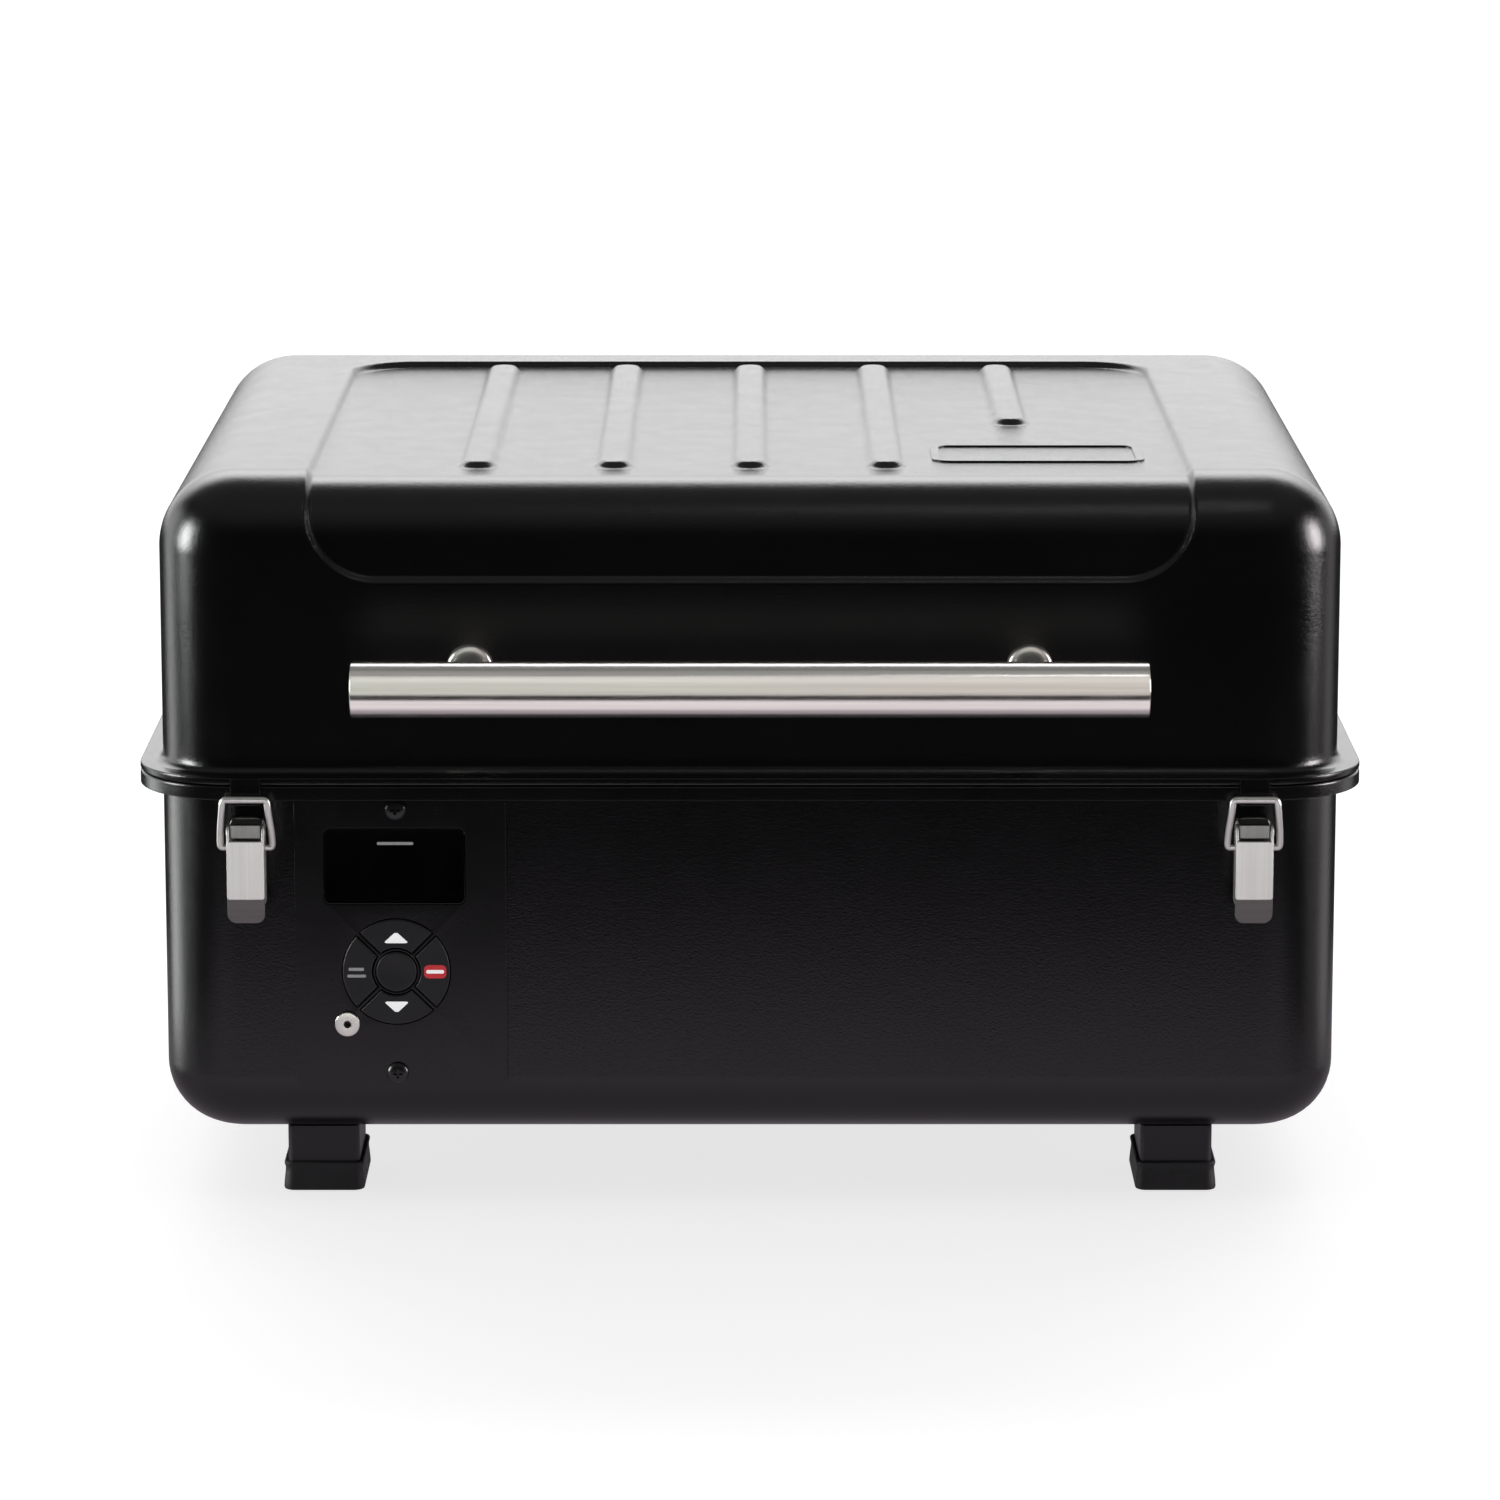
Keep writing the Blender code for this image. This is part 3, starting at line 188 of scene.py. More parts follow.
class Paint:
    """A Principled material whose sockets are fed by procedural nodes."""

    def __init__(self, name, colour, roughness, metallic=0.0, **uniform):
        self.made = bpy.data.materials.new(name)
        self.made.use_nodes = True
        self.tree = self.made.node_tree
        self.shader = self.tree.nodes["Principled BSDF"]
        self.shader.inputs["Base Color"].default_value = (*colour, 1.0)
        self.shader.inputs["Roughness"].default_value = roughness
        self.shader.inputs["Metallic"].default_value = metallic
        for socket, value in uniform.items():
            self.shader.inputs[socket.replace("_", " ")].default_value = value
        self.place = self.node("ShaderNodeTexCoord").outputs["Object"]
        self.bump = None

    def node(self, kind, props=None, **inputs):
        return add_node(self.tree, kind, props, **inputs)

    def stretched(self, scale):
        """Object coordinates stretched by a scale per axis."""
        return self.node("ShaderNodeMapping", Vector=self.place, Scale=scale).outputs[0]

    def noise(self, scale, detail=3.0, rough=0.5, place=None):
        made = self.node("ShaderNodeTexNoise", Vector=place or self.place, Scale=scale,
                         Detail=detail, Roughness=rough)
        return made.outputs["Fac"]

    def cells(self, scale, feature="F1", output="Distance"):
        made = self.node("ShaderNodeTexVoronoi", {"feature": feature}, Vector=self.place,
                         Scale=scale)
        return made.outputs[output]

    def span(self, value, low, high, to_low, to_high):
        """Map a value's range onto another, with the ends held."""
        made = self.node("ShaderNodeMapRange", Value=value, From_Min=low, From_Max=high,
                         To_Min=to_low, To_Max=to_high)
        return made.outputs["Result"]

    def roughness(self, source, low, high, from_low=0.3, from_high=0.7):
        value = self.span(source, from_low, from_high, low, high)
        self.tree.links.new(value, self.shader.inputs["Roughness"])

    def tint(self, source, dark, light, from_low=0.3, from_high=0.7):
        """Vary the base colour between two colours."""
        ramp = self.node("ShaderNodeValToRGB", Fac=source)
        ramp.color_ramp.elements[0].position = from_low
        ramp.color_ramp.elements[0].color = (*dark, 1.0)
        ramp.color_ramp.elements[1].position = from_high
        ramp.color_ramp.elements[1].color = (*light, 1.0)
        return self.colour(ramp.outputs["Color"])

    def colour(self, source):
        self.tree.links.new(source, self.shader.inputs["Base Color"])
        return source

    def speckle(self, below, mask, colour):
        """Mix a colour over the base where the mask is 1."""
        mix = self.node("ShaderNodeMix", {"data_type": "RGBA"})
        self.tree.links.new(mask, mix.inputs[0])
        self.tree.links.new(below, mix.inputs[6])
        mix.inputs[7].default_value = (*colour, 1.0)
        return self.colour(mix.outputs[2])

    def relief(self, height, distance, strength=1.0):
        """Add a layer of bump; the distance is in metres."""
        made = self.node("ShaderNodeBump", Height=height, Distance=distance,
                         Strength=strength)
        if self.bump is not None:
            self.tree.links.new(self.bump, made.inputs["Normal"])
        self.bump = made.outputs["Normal"]
        self.tree.links.new(self.bump, self.shader.inputs["Normal"])


def scaled(colour, factor):
    return tuple(c * factor for c in colour)


def powder_coat(name, colour, roughness, grain):
    """Baked powder coat: fine grain over a softer orange peel, with faint smudges."""
    paint = Paint(name, colour, roughness, IOR=1.5)
    paint.tint(paint.noise(14.0, 4.0), scaled(colour, 0.75), scaled(colour, 1.35))
    paint.roughness(paint.noise(60.0, 5.0, 0.6), roughness - 0.015, roughness + 0.025)
    paint.relief(paint.noise(420.0, 2.0), 0.00002 * grain, 0.5)
    paint.relief(paint.noise(1150.0, 3.0, 0.6), 0.00009 * grain, 0.8)
    return paint.made


def brushed(name, colour, roughness, axis, fineness):
    """Metal with fine scratches along one axis, and soft cloudy variation."""
    paint = Paint(name, colour, roughness, 1.0)
    scale = [fineness] * 3
    scale["XYZ".index(axis)] = fineness / 45.0
    streak = paint.noise(1.0, 4.0, 0.65, paint.stretched(scale))
    long_scale = [fineness / 4.0] * 3
    long_scale["XYZ".index(axis)] = fineness / 300.0
    broad = paint.noise(1.0, 2.0, 0.5, paint.stretched(long_scale))
    paint.tint(broad, scaled(colour, 0.94), scaled(colour, 1.04))
    paint.roughness(streak, roughness - 0.04, roughness + 0.08)
    paint.relief(streak, 0.000004, 0.4)
    return paint.made


def turned(name, colour, roughness):
    """Lathe-turned metal with fine rings about the Y axis."""
    paint = Paint(name, colour, roughness, 1.0)
    rings = paint.noise(1.0, 3.0, 0.6, paint.stretched((40.0, 2600.0, 40.0)))
    paint.tint(paint.noise(70.0, 3.0), scaled(colour, 0.9), scaled(colour, 1.05))
    paint.roughness(rings, roughness - 0.06, roughness + 0.1)
    paint.relief(rings, 0.00005, 0.7)
    return paint.made


def galvanised(name, colour):
    """Zinc-coated sheet with crystal spangle."""
    paint = Paint(name, colour, 0.45, 1.0)
    spangle = paint.cells(130.0, output="Color")
    grey = paint.node("ShaderNodeRGBToBW", Color=spangle).outputs[0]
    paint.tint(grey, scaled(colour, 0.7), scaled(colour, 1.2), 0.2, 0.9)
    paint.roughness(grey, 0.34, 0.56, 0.2, 0.9)
    paint.relief(paint.noise(240.0, 3.0), 0.00006, 0.5)
    return paint.made


def cast_iron(name, colour):
    """Seasoned cast iron: sandy skin with a slight oily sheen."""
    paint = Paint(name, colour, 0.5, 0.35)
    paint.tint(paint.noise(45.0, 5.0, 0.65), scaled(colour, 0.6), (0.06, 0.046, 0.038))
    paint.roughness(paint.noise(80.0, 4.0), 0.36, 0.62)
    paint.relief(paint.noise(420.0, 5.0, 0.7), 0.0005, 0.6)
    paint.relief(paint.noise(90.0, 3.0), 0.0006, 0.4)
    return paint.made


def enamel(name, colour):
    """Glossy vitreous enamel with small pale flecks."""
    paint = Paint(name, colour, 0.16, 0.0, Coat_Weight=0.3)
    base = paint.tint(paint.noise(20.0, 3.0), colour, scaled(colour, 1.6))
    fleck = paint.span(paint.cells(420.0), 0.0, 0.16, 1.0, 0.0)
    thin = paint.span(paint.noise(160.0, 1.0), 0.52, 0.6, 0.0, 1.0)
    mask = paint.node("ShaderNodeMath", {"operation": "MULTIPLY"})
    paint.tree.links.new(fleck, mask.inputs[0])
    paint.tree.links.new(thin, mask.inputs[1])
    paint.speckle(base, mask.outputs[0], (0.28, 0.28, 0.28))
    paint.roughness(paint.noise(60.0, 3.0), 0.1, 0.24)
    paint.relief(paint.noise(150.0, 2.0), 0.0001, 0.4)
    return paint.made


def moulded(name, colour, roughness, grain=700.0, depth=0.00006):
    """Moulded plastic or rubber with a fine matt grain."""
    paint = Paint(name, colour, roughness)
    paint.tint(paint.noise(35.0, 3.0), scaled(colour, 0.8), scaled(colour, 1.3))
    paint.roughness(paint.noise(120.0, 4.0), roughness - 0.08, roughness + 0.1)
    paint.relief(paint.noise(grain, 3.0, 0.6), depth, 0.6)
    return paint.made


def zinc_plate(name, colour):
    """Bright plating with a faint warm and cool cast."""
    paint = Paint(name, colour, 0.26, 1.0)
    paint.tint(paint.noise(60.0, 3.0), (0.5, 0.5, 0.52), (0.66, 0.64, 0.58))
    paint.roughness(paint.noise(300.0, 4.0), 0.2, 0.4)
    paint.relief(paint.noise(500.0, 3.0), 0.00003, 0.5)
    return paint.made


def glossy_black(name, colour):
    """Hard-coated window with the faintest smears."""
    paint = Paint(name, colour, 0.07, 0.0, Coat_Weight=0.5, Coat_Roughness=0.03)
    paint.tint(paint.noise(25.0, 2.0), scaled(colour, 0.8), scaled(colour, 1.4))
    paint.roughness(paint.noise(40.0, 5.0, 0.6), 0.05, 0.13)
    return paint.made


def printed(name, colour, glow=0.0):
    """Screen-printed ink; where glow is set, its faint emission is painted light that
    brightens the print.
    """
    paint = Paint(name, colour, 0.5, Emission_Color=(*colour, 1.0),
                  Emission_Strength=glow)
    paint.tint(paint.noise(900.0, 3.0), scaled(colour, 0.86), colour)
    paint.roughness(paint.noise(700.0, 2.0), 0.42, 0.6)
    paint.relief(paint.noise(1200.0, 2.0), 0.00002, 0.5)
    return paint.made


COAT = powder_coat("black_textured_coat", (0.0016, 0.0014, 0.0017), 0.2, 1.6)
PANEL = powder_coat("satin_black_panel", (0.0013, 0.0012, 0.0014), 0.26, 0.5)
LEG_COAT = powder_coat("satin_black_leg", (0.0045, 0.004, 0.005), 0.4, 0.5)
SCREW = powder_coat("black_oxide", (0.006, 0.006, 0.006), 0.3, 0.4)
BRUSHED = brushed("brushed_stainless_bar", (0.64, 0.625, 0.595), 0.19, "X", 2200.0)
LATCH_STEEL = brushed("satin_stainless_latch", (0.66, 0.655, 0.63), 0.42, "Z", 2600.0)
POST_STEEL = turned("turned_stainless_post", (0.55, 0.54, 0.51), 0.36)
# Darker copy of the latch steel: painted shade on the base plate, which sits below and behind
# the lever.
SHADED_BASE_STEEL = brushed("dull_steel_latch_base", (0.22, 0.22, 0.21), 0.38, "Z", 2000.0)
# Darker copy of the latch steel: painted shade on the lip, which leans inwards and faces
# down.
SHADED_LIP_STEEL = brushed("dark_steel_latch_lip", (0.14, 0.135, 0.13), 0.44, "X", 2000.0)
PROBE_STEEL = brushed("satin_stainless_probe", (0.5, 0.5, 0.5), 0.3, "X", 1800.0)
ZINC = zinc_plate("zinc_plating", (0.6, 0.6, 0.58))
GALVANISED = galvanised("galvanised_sheet", (0.42, 0.42, 0.43))
IRON = cast_iron("seasoned_cast_iron", (0.03, 0.028, 0.027))
ENAMEL = enamel("gloss_black_enamel", (0.012, 0.012, 0.013))
PLASTIC = moulded("black_moulded_plastic", (0.012, 0.012, 0.013), 0.46)
KEY_PLASTIC = moulded("soft_touch_keys", (0.006, 0.006, 0.007), 0.5, 1500.0, 0.00003)
RUBBER = moulded("black_rubber", (0.0038, 0.0034, 0.0042), 0.6, 500.0, 0.00012)
GLASS = glossy_black("display_window_black", (0.0012, 0.001, 0.0012))
# White and red inks glow faintly: painted light that brightens the print; the grey ink has
# none.
WHITE_INK = printed("white_ink", (0.95, 0.95, 0.95), 0.35)
GREY_INK = printed("grey_ink", (0.42, 0.42, 0.43))
RED_INK = printed("red_ink", (0.72, 0.02, 0.03), 0.12)


# ==== Mesh tools ==========================================
AXES = {
    "X": lambda a, b, t: (t, a, b),
    "Y": lambda a, b, t: (a, t, b),
    "Z": lambda a, b, t: (a, b, t),
}


def arc(centre, radius, start, end, steps):
    angles = np.radians(np.linspace(start, end, steps + 1))
    return [(centre[0] + radius * math.cos(a), centre[1] + radius * math.sin(a))
            for a in angles]


def circle(centre, radius, sides):
    return arc(centre, radius, 0.0, 360.0, sides)[:-1]


def rounded(x, y, radius, steps=8):
    """A rectangle with round corners, from (low, high) pairs."""
    corners = ((x[1], y[1], 0), (x[0], y[1], 90), (x[0], y[0], 180), (x[1], y[0], 270))
    outline = []
    for cx, cy, turn in corners:
        sx = -1 if cx == x[1] else 1
        sy = -1 if cy == y[1] else 1
        centre = (cx + sx * radius, cy + sy * radius)
        outline += arc(centre, radius, turn, turn + 90, steps)
    return outline


def inset(outline, distance):
    """Move a closed outline inwards by a distance, with mitred corners."""
    p = np.array(outline, float)
    before = p - np.roll(p, 1, 0)
    after = np.roll(p, -1, 0) - p
    before /= np.linalg.norm(before, axis=1)[:, None]
    after /= np.linalg.norm(after, axis=1)[:, None]
    area = np.sum(p[:, 0] * np.roll(p[:, 1], -1) - np.roll(p[:, 0], -1) * p[:, 1])
    n1 = np.stack([-before[:, 1], before[:, 0]], 1) * np.sign(area)
    n2 = np.stack([-after[:, 1], after[:, 0]], 1) * np.sign(area)
    share = np.maximum(1.0 + np.sum(n1 * n2, axis=1), 0.35)[:, None]
    return [tuple(q) for q in p + distance * (n1 + n2) / share]


def smoothstep(t):
    t = np.clip(t, 0.0, 1.0)
    return t * t * (3.0 - 2.0 * t)


def graded(low, high, coarse, spots):
    """Positions from low to high, closer near each spot of (centre, reach, step)."""
    made = [low]
    while True:
        here = made[-1]
        step = coarse
        for centre, reach, fine in spots:
            away = max(abs(here - centre) - reach, 0.0)
            step = min(step, fine + away * 0.35)
        if here + step * 1.4 >= high:
            break
        made.append(here + step)
    made.append(high)
    return np.array(made)


def solid_mesh(name, points, faces):
    """A mesh in metres from points in millimetres, with its normals facing out."""
    mesh = bpy.data.meshes.new(name)
    mesh.from_pydata((np.array(points, float) * MM).tolist(), [], faces)
    bm = bmesh.new()
    bm.from_mesh(mesh)
    bmesh.ops.recalc_face_normals(bm, faces=bm.faces)
    bm.to_mesh(mesh)
    bm.free()
    return mesh


class Shape:
    """Collects closed bodies and makes one mesh piece of them."""

    def __init__(self):
        self.points = []
        self.faces = []

    def add(self, points, faces):
        base = len(self.points)
        self.points += [tuple(p) for p in points]
        self.faces += [tuple(i + base for i in face) for face in faces]
        return self

    def loft(self, rings, closed=False, caps=True):
        count = len(rings[0])
        points = [p for ring in rings for p in ring]
        faces = []
        for i in range(len(rings) if closed else len(rings) - 1):
            a = i * count
            b = (i + 1) % len(rings) * count
            for j in range(count):
                k = (j + 1) % count
                faces.append((a + j, a + k, b + k, b + j))
        if caps and not closed:
            faces.append(tuple(range(count)))
            faces.append(tuple(range(len(points) - count, len(points))))
        return self.add(points, faces)

    def slab(self, outline, axis, low, high, edge=0.3, steps=3):
        """An outline pulled along an axis, with rounded edges at both ends."""
        place = AXES[axis]
        rings = []
        turns = [math.pi / 2 * i / steps for i in range(steps + 1)]
        stations = [(edge * (1 - math.sin(t)), low + edge * (1 - math.cos(t)))
                    for t in turns]
        stations += [(edge * (1 - math.sin(t)), high - edge * (1 - math.cos(t)))
                     for t in reversed(turns)]
        for distance, t in stations:
            rings.append([place(a, b, t) for a, b in inset(outline, distance)])
        return self.loft(rings)

    def lathe(self, profile, axis, centre, sides=48, closed=False):
        """Turn a profile of (along, radius) points about an axis through a centre."""
        place = AXES[axis]
        rings = [[place(a, b, along) for a, b in circle(centre, radius, sides)]
                 for along, radius in profile]
        return self.loft(rings, closed)

    def sweep(self, path, radius, sides=16):
        """A round wire along a path."""
        path = np.array(path, float)
        tangents = np.gradient(path, axis=0)
        tangents /= np.linalg.norm(tangents, axis=1)[:, None]
        side = np.cross(tangents[0], (0.31, 0.87, 0.38))
        rings = []
        for point, tangent in zip(path, tangents):
            side = side - tangent * np.dot(side, tangent)
            side /= np.linalg.norm(side)
            up = np.cross(tangent, side)
            rings.append([tuple(point + radius * (side * math.cos(a) + up * math.sin(a)))
                          for a in np.linspace(0, 2 * math.pi, sides, endpoint=False)])
        return self.loft(rings)

    def piece(self, name, finish, body, *nodes, angle=SMOOTH_ANGLE):
        """Make the object, let it ride on its body and stand for the CAD nodes."""
        mesh = solid_mesh(name, self.points, self.faces)
        return settle(name, mesh, finish, body, nodes, angle)


def settle(name, mesh, finish, body, nodes, angle):
    """Put a mesh in the scene as a piece of the object."""
    mesh.materials.clear()
    mesh.materials.append(finish)
    mesh.shade_smooth()
    mesh.set_sharp_from_angle(angle=math.radians(angle))
    made = bpy.data.objects.new(name, mesh)
    bpy.context.scene.collection.objects.link(made)
    if not name.startswith("lid_skin"):
        flat = made.modifiers.new("Flat shading", 'WEIGHTED_NORMAL')
        flat.mode = 'FACE_AREA'
        flat.weight = 100
        flat.keep_sharp = True
    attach(made, body)
    if nodes:
        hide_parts(*nodes)
    return made


def chaikin(path, rounds=2):
    """Round the corners of an open path."""
    path = [np.array(p, float) for p in path]
    for _ in range(rounds):
        cut = [path[0]]
        for a, b in zip(path, path[1:]):
            cut += [a * 0.75 + b * 0.25, a * 0.25 + b * 0.75]
        path = cut + [path[-1]]
    return path


def carve(made, tools):
    """Cut shapes out of a piece."""
    for number, tool in enumerate(tools):
        mesh = solid_mesh("tool", tool.points, tool.faces)
        cutter = bpy.data.objects.new(f"tool{number}", mesh)
        bpy.context.scene.collection.objects.link(cutter)
        step = made.modifiers.new("Carve", 'BOOLEAN')
        step.operation = 'DIFFERENCE'
        step.solver = 'EXACT'
        step.object = cutter
        made.modifiers.move(list(made.modifiers).index(step), 0)
        made.modifiers[1].show_viewport = False
        graph = bpy.context.evaluated_depsgraph_get()
        cut = bpy.data.meshes.new_from_object(made.evaluated_get(graph))
        made.modifiers.remove(step)
        made.modifiers[0].show_viewport = True
        made.data = cut
        bpy.data.objects.remove(cutter)
    made.data.set_sharp_from_angle(angle=math.radians(SMOOTH_ANGLE))
    return made


def block(x, y, z):
    outline = [(x[0], y[0]), (x[1], y[0]), (x[1], y[1]), (x[0], y[1])]
    return Shape().loft([[(a, b, t) for a, b in outline] for t in z])


BODY_OF = {n: b for b, group in frame["record"]["behaviour"]["bodies"].items()
           for n in group}


def refine(node, finish, edge=0.3, steps=2):
    """A CAD node's own shape with its sharp edges rounded over."""
    bm = bmesh.new()
    bm.from_mesh(frame["nodes"][node].data)
    bmesh.ops.remove_doubles(bm, verts=bm.verts, dist=1e-6)
    bmesh.ops.dissolve_limit(bm, angle_limit=math.radians(0.6), verts=bm.verts,
                             edges=bm.edges)
    bm.normal_update()
    sharp = [e for e in bm.edges if len(e.link_faces) == 2
             and e.calc_face_angle(0.0) > math.radians(38.0)]
    bmesh.ops.bevel(bm, geom=sharp, offset=edge * MM, segments=steps, profile=0.5,
                    affect='EDGES', clamp_overlap=False)
    bmesh.ops.triangulate(bm, faces=[f for f in bm.faces if len(f.verts) > 4])
    mesh = bpy.data.meshes.new(node + "_fine")
    bm.to_mesh(mesh)
    bm.free()
    return settle(node + "_fine", mesh, finish, BODY_OF[node], (node,), SMOOTH_ANGLE)


# ==== Shells ==============================================
def shell_ring(out, z, xs, ys):
    """The plan outline offset by a distance, with the given places along its straights."""
    cx = HALF_WIDTH - PLAN_RADIUS
    near = FRONT + PLAN_RADIUS
    far = REAR - PLAN_RADIUS
    radius = PLAN_RADIUS + out
    ring = [(x, FRONT - out) for x in xs]
    ring += arc((cx, near), radius, -90, 0, CORNER_STEPS)[1:-1]
    ring += [(HALF_WIDTH + out, y) for y in ys]
    ring += arc((cx, far), radius, 0, 90, CORNER_STEPS)[1:-1]
    ring += [(x, REAR + out) for x in xs[::-1]]
    ring += arc((-cx, far), radius, 90, 180, CORNER_STEPS)[1:-1]
    ring += [(-HALF_WIDTH - out, y) for y in ys[::-1]]
    ring += arc((-cx, near), radius, 180, 270, CORNER_STEPS)[1:-1]
    return [(x, y, z) for x, y in ring]


def panel_depth(x, v):
    """How far the pressed panel is sunk at a place; v runs forwards from its rear end."""
    qx = np.abs(x) - (PANEL_HALF - PANEL_RADIUS)
    qv = np.abs(v - PANEL_LENGTH / 2) - (PANEL_LENGTH / 2 - PANEL_RADIUS)
    outside = np.hypot(np.maximum(qx, 0.0), np.maximum(qv, 0.0))
    edge = outside + np.minimum(np.maximum(qx, qv), 0.0) - PANEL_RADIUS
    sunk = smoothstep((0.8 - edge) / 3.6)
    for i in range(-2, 3):
        tip = SHORT_RIB_TIP if i == 2 else RIB_TIP
        end = PANEL_REAR - tip - RIB_HALF
        beyond = np.maximum(v - end, 0.0) + np.maximum(RIB_START - v, 0.0)
        away = np.hypot(x - RIB_PITCH * i, beyond) - RIB_HALF
        sunk = sunk * smoothstep((away + 2.6) / 5.0)
    return PANEL_DEPTH * sunk


def lid_grid(xs, ys, drop):
    """The flat top between the round edges, with the panel sunk into it."""
    gx, gy = np.meshgrid(xs, ys)
    depth = panel_depth(gx, PANEL_REAR - gy)
    return np.stack([gx, gy, LID_TOP - drop - depth], -1)


def bend_ring(turn, drop, xs, ys):
    """A ring of the round top edge; turn is 0 at the top and a right angle at the wall."""
    radius = LID_RADIUS - drop
    out = -LID_RADIUS + radius * math.sin(turn)
    z = LID_TOP - LID_RADIUS + radius * math.cos(turn)
    ring = shell_ring(out, z, xs, ys)
    depth = panel_depth(xs, PANEL_FLAT + LID_RADIUS * turn)
    for i, (x, sunk) in enumerate(zip(xs, depth)):
        ring[i] = (x, FRONT + LID_RADIUS - (radius - sunk) * math.sin(turn),
                   LID_TOP - LID_RADIUS + (radius - sunk) * math.cos(turn))
    return ring


def wall_ring(z, drop, xs, ys):
    """A ring of the lid's upright wall."""
    ring = shell_ring(-drop, z, xs, ys)
    run = PANEL_FLAT + LID_RADIUS * math.pi / 2 + LID_TOP - LID_RADIUS - z
    for i, (x, sunk) in enumerate(zip(xs, panel_depth(xs, run))):
        ring[i] = (x, FRONT + drop + sunk, z)
    return ring


def top_faces(ring_start, grid_start, nx, ny):
    """Faces of the flat top's grid, and the strip that joins it to the first ring."""
    faces = []
    at = lambda i, j: grid_start + j * nx + i
    for j in range(ny - 1):
        for i in range(nx - 1):
            faces.append((at(i, j), at(i + 1, j), at(i + 1, j + 1), at(i, j + 1)))
    corner = CORNER_STEPS - 1
    front = ring_start
    right = front + nx + corner
    rear = right + ny + corner
    left = rear + nx + corner
    for i in range(nx - 1):
        faces.append((front + i, front + i + 1, at(i + 1, 0), at(i, 0)))
        a, b = nx - 1 - i, nx - 2 - i
        faces.append((rear + i, rear + i + 1, at(b, ny - 1), at(a, ny - 1)))
    for j in range(ny - 1):
        faces.append((right + j, right + j + 1, at(nx - 1, j + 1), at(nx - 1, j)))
        a, b = ny - 1 - j, ny - 2 - j
        faces.append((left + j, left + j + 1, at(0, b), at(0, a)))
    total = 2 * (nx + ny) + 4 * corner
    spans = ((front + nx - 1, at(nx - 1, 0)), (right + ny - 1, at(nx - 1, ny - 1)),
             (rear + nx - 1, at(0, ny - 1)), (left + ny - 1, at(0, 0)))
    for start, hub in spans:
        for k in range(CORNER_STEPS):
            a = ring_start + (start - ring_start + k) % total
            b = ring_start + (start - ring_start + k + 1) % total
            faces.append((a, b, hub))
    return faces


def lid_piece():
    """The whole lid: outer skin, turned-out rim and inner skin, in one closed body."""
    near = FRONT + PLAN_RADIUS
    far = REAR - PLAN_RADIUS
    side = HALF_WIDTH - PLAN_RADIUS
    spots = [(RIB_PITCH * i, 10.5, 0.85) for i in range(-2, 3)]
    spots += [(sign * (PANEL_HALF - 1.0), 3.0, 0.5) for sign in (-1, 1)]
    spots += [(sign * (PANEL_HALF - 15.0), 15.0, 1.0) for sign in (-1, 1)]
    xs = graded(-side, side, 8.0, spots)
    spots = [(PANEL_REAR - 1.0, 3.0, 0.5), (PANEL_REAR - 15.0, 15.0, 1.0)]
    spots += [(RIB_TIP + 3.0, 8.0, 0.8), (SHORT_RIB_TIP + 3.0, 8.0, 0.8)]
    ys = graded(near, far, 9.0, spots)
    run = LID_TOP - LID_RADIUS
    fine_turns = np.radians(np.linspace(0, 90, 46))
    walls = list(np.arange(run - 0.7, run - PANEL_DROP - 4.0, -0.7))
    walls += list(np.linspace(run - PANEL_DROP - 8.0, LID_RIM_HIGH + LID_FILLET + 3, 7))
    rings = [bend_ring(turn, 0.0, xs, ys) for turn in fine_turns]
    rings += [wall_ring(z, 0.0, xs, ys) for z in walls]
    lip = 0.7
    rim = arc((LID_FILLET, LID_RIM_HIGH + LID_FILLET), LID_FILLET, 180, 270, 5)
    rim += arc((RIM_OUT - lip, LID_RIM_HIGH - lip), lip, 90, 0, 3)
    rim += arc((RIM_OUT - lip, LID_RIM_LOW + lip), lip, 0, -90, 3)
    rim += [(-SHEET, LID_RIM_LOW)]
    rings += [shell_ring(out, z, xs, ys) for out, z in rim]
    inner_walls = list(walls[::-2])
    rings += [wall_ring(z, SHEET, xs, ys) for z in inner_walls]
    rings += [bend_ring(turn, SHEET, xs, ys) for turn in fine_turns[::-2]]
    shape = Shape().loft(rings, caps=False)
    nx, ny = len(xs), len(ys)
    for start, drop in ((0, 0.0), ((len(rings) - 1) * len(rings[0]), SHEET)):
        base = len(shape.points)
        shape.points += [tuple(p) for p in lid_grid(xs, ys, drop).reshape(-1, 3)]
        shape.faces += top_faces(start, base, nx, ny)
    return shape.piece("lid_skin", COAT, "lid", "lid_shell", angle=60.0)


